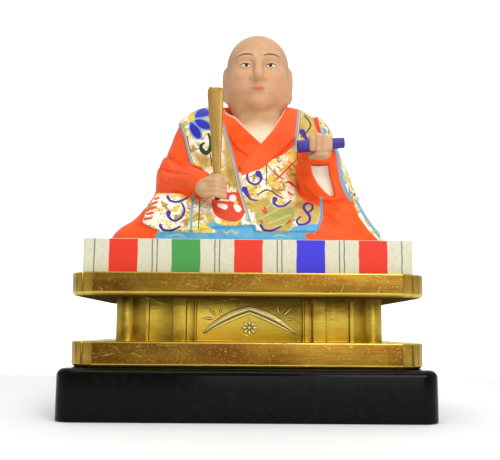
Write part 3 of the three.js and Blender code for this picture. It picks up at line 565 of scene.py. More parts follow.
def outlined_slab(name, layers):
    """A closed solid through layers, each an outline of equal point count and its height."""
    deselect()
    outline, height = layers[0]
    bpy.ops.mesh.primitive_circle_add(vertices=len(outline), fill_type="NGON")
    piece = bpy.context.object
    piece.name = name
    piece.data.name = name
    for vertex, (x, y) in zip(piece.data.vertices, outline):
        vertex.co = (x * MM, y * MM, height * MM)
    bpy.ops.object.mode_set(mode="EDIT")
    bpy.ops.mesh.select_all(action="SELECT")
    for outline, next_height in layers[1:]:
        rise = (next_height - height) * MM
        bpy.ops.mesh.extrude_region_move(TRANSFORM_OT_translate={"value": (0, 0, rise)})
        bpy.ops.object.mode_set(mode="OBJECT")
        top = [vertex for vertex in piece.data.vertices if vertex.select]
        for vertex, (x, y) in zip(sorted(top, key=lambda v: v.index), outline):
            vertex.co = (x * MM, y * MM, next_height * MM)
        bpy.ops.object.mode_set(mode="EDIT")
        height = next_height
    bpy.ops.object.mode_set(mode="OBJECT")
    return reshape(piece, bpy.ops.mesh.normals_make_consistent, inside=False)


def hand_in(piece, node, material):
    """Gives a finished piece its material and its body, and hides the imported node it takes the place of."""
    settle(piece)
    piece.data.materials.clear()
    piece.data.materials.append(material)
    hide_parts(node)
    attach(piece, "root")
    return piece


# Help with materials

class Paint:
    """Writes a material's nodes."""

    def __init__(self, name):
        self.material = bpy.data.materials.new(name)
        self.material.use_nodes = True
        self.tree = self.material.node_tree
        self.shader = self.tree.nodes["Principled BSDF"]
        self.place = self.node("ShaderNodeTexCoord").outputs["Object"]

    def node(self, kind, **settings):
        made = self.tree.nodes.new(kind)
        for key, value in settings.items():
            setattr(made, key, value)
        return made

    def put(self, socket, value):
        if isinstance(value, bpy.types.NodeSocket):
            self.tree.links.new(value, socket)
        else:
            socket.default_value = value

    def set(self, **values):
        for key, value in values.items():
            self.put(self.shader.inputs[key.replace("_", " ")], value)

    def math(self, operation, *values):
        made = self.node("ShaderNodeMath", operation=operation)
        for socket, value in zip(made.inputs, values):
            self.put(socket, value)
        return made.outputs[0]

    def times(self, first, second):
        return self.math("MULTIPLY", first, second)

    def gap(self, first, second):
        """How far apart two values are."""
        return self.math("ABSOLUTE", self.math("SUBTRACT", first, second))

    def noise(self, scale, detail=3.0, roughness=0.5, stretch=None, distortion=0.0):
        """Soft noise whose grains are about one over scale of a millimetre across."""
        made = self.node("ShaderNodeTexNoise")
        self.put(made.inputs["Vector"], self.stretched(stretch) if stretch else self.place)
        made.inputs["Scale"].default_value = scale / MM
        made.inputs["Detail"].default_value = detail
        made.inputs["Roughness"].default_value = roughness
        made.inputs["Distortion"].default_value = distortion
        return made.outputs["Fac"]

    def stretched(self, stretch):
        made = self.node("ShaderNodeMapping")
        self.put(made.inputs["Vector"], self.place)
        made.inputs["Scale"].default_value = stretch
        return made.outputs["Vector"]

    def creases(self, scale, stretch):
        """How far each place is from the nearest crease between flat cells."""
        made = self.node("ShaderNodeTexVoronoi", feature="DISTANCE_TO_EDGE")
        self.put(made.inputs["Vector"], self.stretched(stretch))
        made.inputs["Scale"].default_value = scale / MM
        return made.outputs["Distance"]

    def span(self, value, low, high, to_low=0.0, to_high=1.0):
        """Maps a value's range onto another, held at both ends."""
        made = self.node("ShaderNodeMapRange")
        for key, number in zip(("Value", "From Min", "From Max", "To Min", "To Max"),
                               (value, low, high, to_low, to_high)):
            self.put(made.inputs[key], number)
        return made.outputs["Result"]

    def mix(self, share, first, second):
        made = self.node("ShaderNodeMix", data_type="RGBA")
        self.put(made.inputs["Factor"], share)
        self.put(made.inputs[6], first)
        self.put(made.inputs[7], second)
        return made.outputs[2]

    def attribute(self, name):
        return self.node("ShaderNodeAttribute", attribute_name=name).outputs["Fac"]

    def laid(self, base, layer, tint, low=-0.06, high=0.06, share=1.0):
        """Lays a colour over a base where the named attribute rises from low to high."""
        return self.mix(self.span(self.attribute(layer), low, high, 0, share), base, tint)

    def normal(self, axis):
        split = self.node("ShaderNodeSeparateXYZ")
        self.put(split.inputs[0], self.node("ShaderNodeNewGeometry").outputs["Normal"])
        return split.outputs[axis]

    def slant(self):
        """How far the surface turns away from all three axes, as edges and rounded posts do."""
        sizes = [self.math("ABSOLUTE", self.normal(axis)) for axis in "XYZ"]
        largest = self.math("MAXIMUM", self.math("MAXIMUM", sizes[0], sizes[1]), sizes[2])
        return self.math("SUBTRACT", 1.0, largest)

    def coordinate(self, axis):
        split = self.node("ShaderNodeSeparateXYZ")
        self.put(split.inputs[0], self.place)
        return split.outputs[axis]

    def bump(self, height, strength, distance):
        made = self.node("ShaderNodeBump")
        self.put(made.inputs["Height"], height)
        self.put(made.inputs["Strength"], strength)
        made.inputs["Distance"].default_value = distance * MM
        return made.outputs["Normal"]


def colour(red, green, blue):
    """A colour as the eye names it, from 0 to 255, in the renderer's linear scale."""
    def linear(value):
        share = value / 255
        return share / 12.92 if share <= 0.04045 else ((share + 0.055) / 1.055) ** 2.4
    return (linear(red), linear(green), linear(blue), 1.0)


def gold_leaf(name, bright, rubbed, painted_brightening):
    """Leaf laid in sheets and rubbed through in patches. It has painted highlight on every edge and rounded
    post, along the tiers' edges and on the carving's raised parts, and painted shade at the carving's foot
    and under the tiers. The last argument runs from 0 to 1 and paints light onto shaded leaf by rubbing and
    streaking it less.
    """
    paint = Paint(name)
    x, y = paint.coordinate("X"), paint.coordinate("Y")
    sheet = paint.math("FLOOR", paint.math("DIVIDE", paint.math("ADD", x, y), LEAF_SHEET * MM))
    tone = paint.node("ShaderNodeTexWhiteNoise", noise_dimensions="1D")
    paint.put(tone.inputs["W"], sheet)
    broad = paint.noise(0.045, detail=5, stretch=(0.7, 0.7, 2.0))
    broad = paint.math("ADD", broad, paint.span(tone.outputs["Value"], 0, 1, -0.05, 0.05))
    streak = paint.noise(1.0, detail=5, roughness=0.7, stretch=(0.1, 0.1, 1.6))
    fine = paint.noise(1.6, detail=5, roughness=0.75)
    # The last argument lightens the leaf and thins its dark streaks: painted light, for the waist that the
    # upper tier shades
    base = paint.mix(paint.span(broad, 0.4 + 0.06 * painted_brightening, 0.58 + 0.1 * painted_brightening), bright, rubbed)
    base = paint.mix(paint.span(streak, 0.48, 0.7, 0, 0.5 - 0.3 * painted_brightening), base, colour(104, 64, 14))
    base = paint.mix(paint.span(fine, 0.55, 0.72, 0, 0.45), base, colour(232, 202, 104))
    # Painted highlight: edges and rounded posts are a lighter brass, standing in for the light they catch
    slant = paint.slant()
    base = paint.mix(paint.span(slant, 0.03, 0.14, 0, 0.5), base, colour(224, 190, 80))
    # Painted highlight lines along each tier's top edge and just above its lower chamfer
    for tier in (LOWER_TIER, UPPER_TIER):
        for height in (tier["bottom"] + TIER_CHAMFER, tier["top"]):
            gap = paint.gap(paint.coordinate("Z"), height * MM)
            edge = paint.span(gap, 0.3 * MM, 0.55 * MM, 0.6, 0)
            base = paint.mix(edge, base, colour(240, 212, 92))
    # The carving is painted pale where it stands furthest from the panel and dark at its foot: painted
    # highlight and painted shade
    carving = paint.span(paint.attribute("carving"), 0.4, 0.6)
    raised = paint.span(y, (PANEL_FRONT - 0.6) * MM, (PANEL_FRONT - 0.3) * MM, 1, 0)
    base = paint.mix(carving, base, paint.mix(raised, colour(128, 88, 22), colour(255, 244, 160)))
    crease = paint.creases(0.1, (0.35, 0.35, 1.7))
    line = paint.span(crease, 0.0, 0.014, 1.0, 0.0)
    line = paint.times(line, paint.span(paint.noise(0.3, detail=4), 0.52, 0.62))
    base = paint.mix(paint.times(line, 0.4), base, colour(240, 212, 120))
    # Painted shade: faces turned downward are dark grey-brown, dull and barely glossy
    below = paint.span(paint.normal("Z"), -0.86, -0.95)
    base = paint.mix(below, base, colour(84, 66, 34))
    height = paint.math("ADD", paint.times(paint.noise(0.12, detail=3), 2.5),
                        paint.math("ADD", streak, line))
    dull = paint.math("MAXIMUM", paint.times(below, 0.95), paint.times(carving, 0.55))
    paint.set(
        Base_Color=base, Metallic=paint.math("SUBTRACT", 0.95, dull),
        Roughness=paint.span(fine, 0.3, 0.7, 0.28, 0.44), Normal=paint.bump(height, 0.6, 0.14),
        Specular_IOR_Level=paint.span(below, 0, 1, 0.5, 0),
    )
    return paint.material


def black_lacquer(name, black):
    """Deep gloss with a little dust."""
    paint = Paint(name)
    dust = paint.noise(0.35, detail=5, roughness=0.7)
    tint = paint.mix(paint.span(dust, 0.5, 0.85, 0, 0.35), black, colour(34, 36, 28))
    paint.set(
        Base_Color=tint, Roughness=paint.span(dust, 0.3, 0.8, 0.08, 0.2), Specular_IOR_Level=0.1,
        Normal=paint.bump(paint.noise(0.06, detail=2), 0.12, 0.5),
    )
    return paint.material


def mat_paint(name, dais):
    """Off-white paint with coloured stripes and thin double lines on all four edges."""
    paint = Paint(name)
    grain = paint.noise(0.6, detail=5, roughness=0.65)
    base = paint.mix(paint.span(grain, 0.3, 0.75), dais.mat_white[:], colour(203, 199, 174))
    x, y, z = (paint.coordinate(axis) for axis in "XYZ")
    on_side = paint.math("GREATER_THAN", paint.math("ABSOLUTE", x), (MAT["width"] / 2 - 0.3) * MM)
    along = paint.math("ADD", paint.times(on_side, y),
                       paint.times(paint.math("SUBTRACT", 1.0, on_side), x))
    wobble = paint.times(paint.math("SUBTRACT", paint.noise(0.25, detail=2), 0.5), 0.5 * MM)
    along = paint.math("ADD", along, wobble)
    share = paint.math("DIVIDE", along, STRIPE["pitch"] * MM)
    number = paint.math("ROUND", share)
    off = paint.gap(share, number)
    off = paint.times(off, STRIPE["pitch"])
    odd = paint.math("MODULO", paint.math("ABSOLUTE", number), 2.0)
    cool = paint.mix(paint.math("LESS_THAN", number, 0.0), dais.stripe_blue[:], dais.stripe_green[:])
    stripe = paint.mix(odd, dais.stripe_red[:], cool)
    edge = paint.math("LESS_THAN", z, (MAT["top"] - 0.15) * MM)
    half_width = dais.stripe_width / MM / 2
    on_stripe = paint.span(off, half_width - 0.06, half_width + 0.06, 1, 0)
    within = paint.math("LESS_THAN", paint.math("ABSOLUTE", number), paint.math("SUBTRACT", 2.5, on_side))
    on_stripe = paint.times(on_stripe, within)
    base = paint.mix(paint.times(on_stripe, edge), base, stripe)
    off_line = paint.gap(off, STRIPE["pitch"] / 2 - STRIPE["line_gap"])
    line = paint.span(off_line, 0.16, 0.26, 1, 0)
    last = paint.math("LESS_THAN", paint.math("ABSOLUTE", along), STRIPE["last_line"] * MM)
    line = paint.times(paint.times(line, edge), last)
    base = paint.mix(paint.times(line, 0.85), base, colour(92, 94, 94))
    paint.set(Base_Color=base, Roughness=0.55, Specular_IOR_Level=0.2, Normal=paint.bump(grain, 0.15, 0.08))
    return paint.material


def skin_paint(name, skin, with_features=False):
    """Flesh paint. The head's is warmer on the cheeks, greyer where the scalp is shaved, and greyer on its
    sides as painted shade.
    """
    paint = Paint(name)
    grain = paint.noise(0.25, detail=4)
    base = paint.mix(paint.span(grain, 0.35, 0.7), skin, colour(198, 150, 112))
    if with_features:
        # The neck is painted paler towards its foot
        pale_foot, pale_top = ((SEAT + NECK_PALING[end]) * MM for end in ("bottom", "top"))
        low = paint.span(paint.coordinate("Z"), pale_foot, pale_top, 0.75, 0)
        base = paint.mix(low, base, colour(250, 228, 200))
        base = paint.mix(paint.times(paint.attribute("blush"), 0.3), base, colour(214, 130, 100))
        # Grey of the shaved scalp, which on the sides of the face is painted shade
        base = paint.mix(paint.times(paint.attribute("scalp"), 0.45), base, colour(158, 132, 112))
        for feature, tint in FEATURE_COLOURS.items():
            base = paint.laid(base, feature, colour(*tint), -0.05, 0.08)
    paint.set(
        Base_Color=base, Roughness=0.5, Specular_IOR_Level=0.2,
        Normal=paint.bump(paint.noise(1.2, detail=4), 0.08, 0.05),
    )
    return paint.material


def brocade_ground(paint, cream, gold):
    """Cream, yellow and gold patches with fine brown outlines."""
    patch = paint.noise(0.15, detail=3, roughness=0.6)
    base = paint.mix(paint.span(patch, 0.52, 0.56), cream, gold)
    other = paint.noise(0.21, detail=2, distortion=0.6)
    base = paint.mix(paint.span(other, 0.57, 0.61), base, colour(238, 212, 98))
    base = paint.mix(paint.span(other, 0.39, 0.35), base, colour(178, 146, 68))
    fleck = paint.noise(0.5, detail=3, roughness=0.6)
    base = paint.mix(paint.span(fleck, 0.6, 0.66, 0, 0.6), base, colour(126, 98, 46))
    outlines = ((0.15, 0.5, (134, 100, 44)), (0.21, 0.56, (150, 116, 50)), (0.24, 0.46, (104, 96, 64)))
    for scale, level, tint in outlines:
        wander = paint.noise(scale, detail=1.0, distortion=0.5)
        contour = paint.gap(wander, level)
        base = paint.mix(paint.span(contour, 0.003, 0.01, 0.75, 0), base, colour(*tint))
    olive = paint.mix(paint.span(patch, 0.4, 0.6), colour(150, 158, 84), colour(196, 164, 76))
    base = paint.laid(base, "olive", olive, -0.6, 0.6)
    umber = paint.mix(paint.span(patch, 0.4, 0.6), colour(204, 176, 98), colour(174, 146, 66))
    return paint.laid(base, "umber", umber, -0.8, 0.8)


def robe_paint(name, robe):
    """Plain red cloth, with the brocade, its ornament and its borders painted over it."""
    paint = Paint(name)
    grain = paint.noise(0.3, detail=4)
    red = paint.mix(paint.span(grain, 0.35, 0.7), robe.red_cloth[:], colour(243, 80, 22))
    layers = {
        "stripes": colour(228, 78, 44), "pale_green": colour(176, 196, 120), "scarlet": colour(216, 66, 40),
        "dark": colour(84, 64, 48), "green": colour(30, 64, 34), "ink": robe.ink[:],
        "white": colour(248, 240, 224), "yellow": colour(236, 200, 66),
    }
    base = brocade_ground(paint, robe.brocade_cream[:], robe.brocade_gold[:])
    base = paint.laid(base, "petal", colour(112, 158, 216), -0.65, -0.55)
    base = paint.laid(base, "petal", colour(52, 42, 172), -0.1, 0)
    for layer, tint in layers.items():
        base = paint.laid(base, layer, tint)
    near_line = paint.span(paint.attribute("border_line"), 1.8, 1.9, 1, 0)
    for border, wanted in (("border", near_line), ("back_border", 1.0)):
        edge = paint.attribute(border)
        near = paint.times(paint.span(edge, -0.05, 0.05), wanted)
        for width, tint in (("line", (120, 84, 50)), ("gold", (236, 206, 104)), ("blue", (124, 160, 188))):
            reach = paint.span(edge, BORDER[width] - 0.05, BORDER[width] + 0.05, 1, 0)
            base = paint.mix(paint.times(near, reach), base, colour(*tint))
    base = paint.laid(red, "brocade", base, -0.05, 0.05)
    base = paint.laid(base, "sky", colour(116, 168, 204))
    hem = paint.mix(paint.span(grain, 0.4, 0.65), robe.hem_blue[:], colour(112, 178, 212))
    base = paint.laid(base, "hem", hem)
    base = paint.laid(base, "hem_gold", colour(206, 206, 120), share=0.8)
    base = paint.laid(base, "throat", colour(244, 222, 196), -0.4, -0.3)
    base = paint.laid(base, "throat", colour(232, 190, 152), 0, 0.1)
    # Painted shadow: a deeper red inside the sleeve's mouth, above the white lining
    base = paint.laid(base, "mouth", colour(196, 58, 24), 0, 0.6)
    base = paint.laid(base, "lining", colour(234, 234, 212))
    paint.set(
        Base_Color=base, Roughness=0.5, Specular_IOR_Level=0.2,
        Normal=paint.bump(paint.noise(1.2, detail=4), 0.1, 0.06),
    )
    return paint.material


def baton_paint(name, gold):
    paint = Paint(name)
    grain = paint.noise(0.5, detail=4, stretch=(1, 1, 0.15))
    base = paint.mix(paint.span(grain, 0.35, 0.7), gold, colour(146, 110, 40))
    worn = paint.noise(0.22, detail=4)
    base = paint.mix(paint.span(worn, 0.55, 0.75, 0, 0.5), base, colour(196, 166, 92))
    paint.set(Base_Color=base, Metallic=0.35, Roughness=0.42, Normal=paint.bump(grain, 0.2, 0.08))
    return paint.material


def scroll_paint(name, blue):
    paint = Paint(name)
    grain = paint.noise(0.5, detail=4)
    base = paint.mix(paint.span(grain, 0.35, 0.7), blue, colour(40, 30, 122))
    paint.set(Base_Color=base, Roughness=0.45, Normal=paint.bump(grain, 0.15, 0.06))
    return paint.material


def plain_floor(name, pale):
    paint = Paint(name)
    grain = paint.noise(0.02, detail=2)
    base = paint.mix(paint.span(grain, 0.3, 0.7), pale, colour(246, 246, 245))
    paint.set(Base_Color=base, Roughness=0.9)
    return paint.material


# The dais

def four_quarters(quarter):
    """An outline that repeats one quarter in all four corners, anticlockwise from the front right.
    The quarter runs from the front's middle to the right side's, with y towards the viewer."""
    flipped = quarter[::-1]
    front = [(x, -y) for x, y in quarter] + [(x, y) for x, y in flipped]
    return front + [(-x, y) for x, y in quarter] + [(-x, -y) for x, y in flipped]


def rounded_outline(width, depth, radius, steps):
    angles = [math.pi / 2 * (1 - i / steps) for i in range(steps + 1)]
    across, along = width / 2 - radius, depth / 2 - radius
    return four_quarters([(across + radius * math.cos(a), along + radius * math.sin(a)) for a in angles])


def rounded_top(width, depth, corner, rounding, top, steps):
    """The layers of a slab's upper edge, rounded by a quarter circle."""
    layers = []
    for i in range(steps + 1):
        angle = math.pi / 2 * i / steps
        inset = rounding * (1 - math.cos(angle))
        outline = rounded_outline(width - 2 * inset, depth - 2 * inset, corner - inset, steps)
        layers.append((outline, top - rounding * (1 - math.sin(angle))))
    return layers


def make_base(dais):
    """The board, with its lower edge eased and its upper one well rounded."""
    steps, ease = BASE["steps"], BASE["ease"]
    width, depth = dais.base_width / MM, dais.base_depth / MM
    corner, rounding = dais.base_corner / MM, dais.base_rounding / MM
    layers = [
        (rounded_outline(width - 2 * ease, depth - 2 * ease, corner, steps), BASE["bottom"]),
        (rounded_outline(width, depth, corner, steps), BASE["bottom"] + ease),
        *rounded_top(width, depth, corner, rounding, BASE["top"], steps),
    ]
    return shade(outlined_slab("lacquer_board", layers), SHARP["plain"])


def indented_outline(width, depth):
    there = NOTCH + [(into, along) for along, into in NOTCH[::-1]]
    return four_quarters([(width / 2 - along, depth / 2 - into) for along, into in there])


def make_tier(name, size, dais):
    chamfer = dais.tier_chamfer / MM
    width, depth = size["width"], size["depth"]
    piece = outlined_slab(name, [
        (indented_outline(width - 2 * chamfer, depth - 2 * chamfer), size["bottom"]),
        (indented_outline(width, depth), size["bottom"] + chamfer),
        (indented_outline(width, depth), size["top"]),
    ])
    return soften_edges(piece, dais.edge_softness)


def waist_face(reach):
    """The posts, bays and facets of half a face, from its middle out to the corner post."""
    shift = reach - WAIST["width"] / 2
    return [(FACE[at] + more + shift, SETBACK[depth] + deeper) for at, more, depth, deeper in FACE_PROFILE]


def waist_outline(steps=12):
    across, along = WAIST["width"] / 2, WAIST["depth"] / 2
    front = [(x, along - into) for x, into in waist_face(across)]
    side = [(across - into, y) for y, into in waist_face(along)][::-1]
    post = []
    for i in range(steps + 1):
        angle = math.radians(135 - 180 * i / steps)
        x, y = CORNER_POST_RADIUS * math.cos(angle), CORNER_POST_RADIUS * math.sin(angle)
        post.append((across - CORNER_POST_RADIUS + x, along - CORNER_POST_RADIUS + y))
    return four_quarters(front + post + side)


def bent(points, steps):
    """Points along a curve that starts at the first point, ends at the last and leans to the middle."""
    start, middle, end = (np.array(point, float) for point in points)
    shares = np.linspace(0, 1, steps + 1)[:, None]
    return (1 - shares) ** 2 * start + 2 * shares * (1 - shares) * middle + shares ** 2 * end


def stand_on_panel(piece):
    """Turns a carving that was modelled lying down upright on the waist's panel."""
    choose(piece)
    piece.rotation_euler = (math.pi / 2, 0, 0)
    piece.location = (WAIST["shift"] * MM, PANEL_FRONT * MM, WAIST["bottom"] * MM)
    return settle(piece)


def make_leaf(side):
    """A long leaf with a raised rim, a hollow and a ridge, pointed at its outer end. The gold paints
    highlight on its raised parts.
    """
    along, across = LEAF["steps"]
    deselect()
    bpy.ops.mesh.primitive_grid_add(x_subdivisions=along, y_subdivisions=across, size=1)
    piece = bpy.context.object
    piece.name = "leaf"
    upper, lower = bent(LEAF_UPPER, along), bent(LEAF_LOWER, along)
    shares, heights = zip(*LEAF_SECTION)
    for vertex in piece.data.vertices:
        i = round((vertex.co.x + 0.5) * along)
        share = vertex.co.y + 0.5
        x, z = lower[i] + (upper[i] - lower[i]) * share
        full = min(1, LEAF["tip_height"] + LEAF["rise"] * i / along)
        vertex.co = (side * x * MM, z * MM, float(np.interp(share, shares, heights)) * full * MM)
    down = {"value": (0, 0, -LEAF["root"] * MM)}
    reshape(piece, bpy.ops.mesh.extrude_region_move, TRANSFORM_OT_translate=down)
    reshape(piece, bpy.ops.mesh.normals_make_consistent, inside=False)
    return shade(stand_on_panel(piece), SHARP["plain"])


def make_ray(ends, side):
    start, end = (np.array(point, float) * (side, 1) for point in ends)
    along = (end - start) / np.linalg.norm(end - start)
    across = np.array([-along[1], along[0]])
    layers = []
    for narrowing, height in RAY["layers"]:
        middle = start + (end - start) * RAY["widest"]
        reach = across * RAY["width"] / 2 * narrowing
        around = [start, middle - reach, end, middle + reach]
        layers.append(([tuple(point) for point in around], height))
    return stand_on_panel(outlined_slab("ray", layers))


def make_flower():
    """A ring of petals, each turned outwards, round a heart."""
    reach, height = FLOWER["reach"], FLOWER["height"]
    fineness = {"segments": 16, "rings": 8}
    parts = []
    for i in range(FLOWER["petals"]):
        angle = 2 * math.pi * i / FLOWER["petals"]
        place = (reach * math.sin(angle), height + reach * math.cos(angle), FLOWER["petal_front"])
        parts.append(add_ball(place, FLOWER["size"], (FLOWER["petal_tilt"], 0, -angle), **fineness))
    parts.append(add_ball((0, height, FLOWER["heart_front"]), (FLOWER["heart"],) * 3, **fineness))
    return shade(stand_on_panel(join(parts, "flower")))


def make_waist(dais):
    outline = waist_outline()
    block = outlined_slab("waist_block", [(outline, WAIST["bottom"]), (outline, WAIST["top"])])
    block.location.x = WAIST["shift"] * MM
    soften_edges(settle(block), dais.edge_softness / 2)
    carving = [make_flower()]
    for side in (-1, 1):
        carving.append(make_leaf(side))
        carving += [make_ray(ends, side) for ends in RAYS]
    write_attribute(block, "carving", np.zeros(len(block.data.vertices)))
    for piece in carving:
        write_attribute(piece, "carving", np.ones(len(piece.data.vertices)))
    return join([block, *carving], "carved_waist")


def make_mat(dais):
    """The mat, whose upper edge is rounded half as much as its corners."""
    width, depth, corner = MAT["width"], MAT["depth"], dais.mat_rounding / MM
    layers = [
        (rounded_outline(width, depth, corner, MAT["steps"]), MAT["bottom"]),
        *rounded_top(width, depth, corner, corner / 2, MAT["top"], MAT["steps"]),
    ]
    return shade(outlined_slab("painted_mat", layers), SHARP["plain"])


# The figure's forms, as distances in millimetres that are negative inside

def to_ball(points, ball):
    centre, radii = (np.array(part, np.float32) for part in ball)
    scaled = (points - centre) / radii
    reach = np.linalg.norm(scaled, axis=-1)
    return reach * (reach - 1) / np.maximum(np.linalg.norm(scaled / radii, axis=-1), 1e-6)


def to_limb(points, limb):
    start, end, radii = (np.array(part, np.float32) for part in limb)
    along = end - start
    share = np.clip((points - start) @ along / (along @ along), 0, 1)
    gap = np.linalg.norm(points - start - share[..., None] * along, axis=-1)
    return gap - (radii[0] + (radii[1] - radii[0]) * share)


def blend(first, second, softness):
    share = np.clip(0.5 + 0.5 * (second - first) / softness, 0, 1)
    return second + (first - second) * share - softness * share * (1 - share)


def carve(first, second, softness):
    return -blend(-first, second, softness)


def ramp(value, width):
    """Rises smoothly from 0 to 1 as the value passes 0."""
    share = np.clip(value / width + 0.5, 0, 1)
    return share * share * (3 - 2 * share)


def from_line(start, end, across, up):
    """How far across and up a point is from the nearest place on a line, and that place's share."""
    ex, ey, px, py = end[0] - start[0], end[1] - start[1], across - start[0], up - start[1]
    share = np.clip((px * ex + py * ey) / max(ex * ex + ey * ey, 1e-9), 0, 1)
    return px - ex * share, py - ey * share, share


def inside(outline, across, up):
    """How far a point is inside a closed outline, and negative outside."""
    nearest = np.full(across.shape, 1e9)
    sign = np.full(across.shape, -1.0)
    for (x0, y0), (x1, y1) in zip(outline, outline[1:] + outline[:1]):
        dx, dy, _ = from_line((x0, y0), (x1, y1), across, up)
        nearest = np.minimum(nearest, dx ** 2 + dy ** 2)
        if y0 != y1:
            crosses = ((y0 > up) != (y1 > up)) & (across < (x1 - x0) * (up - y0) / (y1 - y0) + x0)
            sign = np.where(crosses, -sign, sign)
    return np.sqrt(nearest) * sign


def to_stroke(points, across, up):
    """How far a point is from an open line."""
    nearest = np.full(across.shape, 1e9)
    for start, end in zip(points, points[1:]):
        dx, dy, _ = from_line(start, end, across, up)
        nearest = np.minimum(nearest, dx ** 2 + dy ** 2)
    return np.sqrt(nearest)


def to_brush(stroke, across, up):
    """How far a point is inside a brush stroke, and negative outside."""
    deepest = np.full(across.shape, -1e9)
    line = flowing(stroke if len(stroke) > 1 else stroke * 2)
    for start, end in zip(line, line[1:]):
        dx, dy, share = from_line(start, end, across, up)
        half_width = start[2] + (end[2] - start[2]) * share
        deepest = np.maximum(deepest, half_width - np.hypot(dx, dy))
    return deepest


def moved(stroke, across, up):
    return [(across + x, up + y, width) for x, y, width in stroke]


def painted(strokes, outlines, across, up):
    """How far a point is inside any of the strokes and flowing outlines."""
    depths = [to_brush(stroke, across, up) for stroke in strokes]
    depths += [inside(flowing(outline + outline[:1])[:-1], across, up) for outline in outlines]
    return np.maximum.reduce(depths)


def flowing(points, steps=5):
    """A smooth line through points."""
    places = [np.array(point, float) for point in points]
    padded = [places[0], *places, places[-1]]
    line = []
    for before, start, end, after in zip(padded, padded[1:], padded[2:], padded[3:]):
        for i in range(steps):
            t = i / steps
            line.append(tuple(0.5 * (
                2 * start + (end - before) * t
                + (2 * before - 5 * start + 4 * end - after) * t * t
                + (3 * start - 3 * end + after - before) * t ** 3
            )))
    return line + [tuple(places[-1])]


def on_board(points):
    scale = (BOARD_Y - EYE[1]) / (np.minimum(points[..., 1], TURN_Y) - EYE[1])
    across = EYE[0] + (points[..., 0] - EYE[0]) * scale
    up = EYE[2] + (points[..., 2] - EYE[2]) * scale
    return across, up


def joined(d, forms, joins, hollows=()):
    """Runs forms into a first one in the order of their joins, and cuts the hollows out of it."""
    for name, softness in joins.items():
        d = (carve if name in hollows else blend)(d, forms[name], softness)
    return d


def body_distance(points):
    forms = {name: to_ball(points, form) for name, form in BALLS.items()}
    forms |= {name: to_limb(points, form) for name, form in LIMBS.items() if name not in ARM_PARTS}
    forms["torso"] = blend(forms["trunk"], forms["belly"], 6)
    return joined(forms["hips"], forms, BODY_JOINS)


def robe_distance(points):
    """The robe with its cloths, sleeves and folds."""
    across, up = on_board(points)
    front = ramp(TURN_Y - points[..., 1], CLOTH_EDGE)
    panels = np.maximum.reduce([
        inside(outline, across, up) for outline in (SHOULDER_PANEL, KNEE_PANEL, STOLE)
    ])
    back = inside(BACK_STOLE, points[..., 0], points[..., 2])
    lift = LIFT["stole"] * (ramp(panels, CLOTH_EDGE) * front + ramp(back, CLOTH_EDGE) * (1 - front))
    necklines = {"over_collar": OVER_COLLAR, "under_collar": UNDER_COLLAR, "throat": THROAT}
    over, under, throat = (
        LIFT[name] * ramp(inside(outline, across, up), CLOTH_EDGE) * front
        for name, outline in necklines.items()
    )
    fold = front * sum(
        depth * np.clip(to_brush(line, across, up) / line[1][2], 0, 1) for line, depth in FOLDS
    )
    body = body_distance(points) - np.maximum(np.maximum(lift, over), under) - throat
    right, left, sleeve = (to_limb(points, LIMBS[name]) for name in ARM_PARTS)
    left = blend(left, sleeve, ARM_JOINS["sleeve"])
    left = left - LIFT["rim"] * ramp(inside(SLEEVE_RIM, across, up), CLOTH_EDGE)
    hollow = ramp(inside(SLEEVE_MOUTH, across, up), MOUTH_EDGE)
    hollow = hollow * ramp(MOUTH_FRONT["cut"] - points[..., 1], MOUTH_FRONT["ease"])
    left = left - LIFT["mouth"] * hollow
    return blend(blend(body, right, ARM_JOINS["right"]), left, ARM_JOINS["left"]) + fold


def head_distance(points):
    """The head and neck, of which all but the neck is alike on both sides."""
    side = points - np.array((FACE_MIDDLE, 0, 0), np.float32)
    neck = to_limb(side, NECK)
    side[..., 0] = np.abs(side[..., 0])
    forms = {name: to_ball(side, form) for name, form in HEAD.items()}
    forms |= {"neck": neck, "brow": to_limb(side, BROW), "nose": to_limb(side, NOSE)}
    return joined(forms["cranium"], forms, HEAD_JOINS, HEAD_HOLLOWS)


def settle_on(distance, points, rounds=3):
    """Moves points along the form's own slope until they lie on it."""
    reach = SETTLE["reach"]
    for _ in range(rounds):
        gap = distance(points)
        slope = np.stack([
            distance(points + step) - distance(points - step) for step in np.eye(3, dtype=np.float32) * reach
        ], -1) / (2 * reach)
        steepness = np.maximum((slope ** 2).sum(-1, keepdims=True), SETTLE["least_slope"])
        move = gap[:, None] * slope / steepness
        points = points - np.clip(move, -SETTLE["longest_move"], SETTLE["longest_move"])
    return points


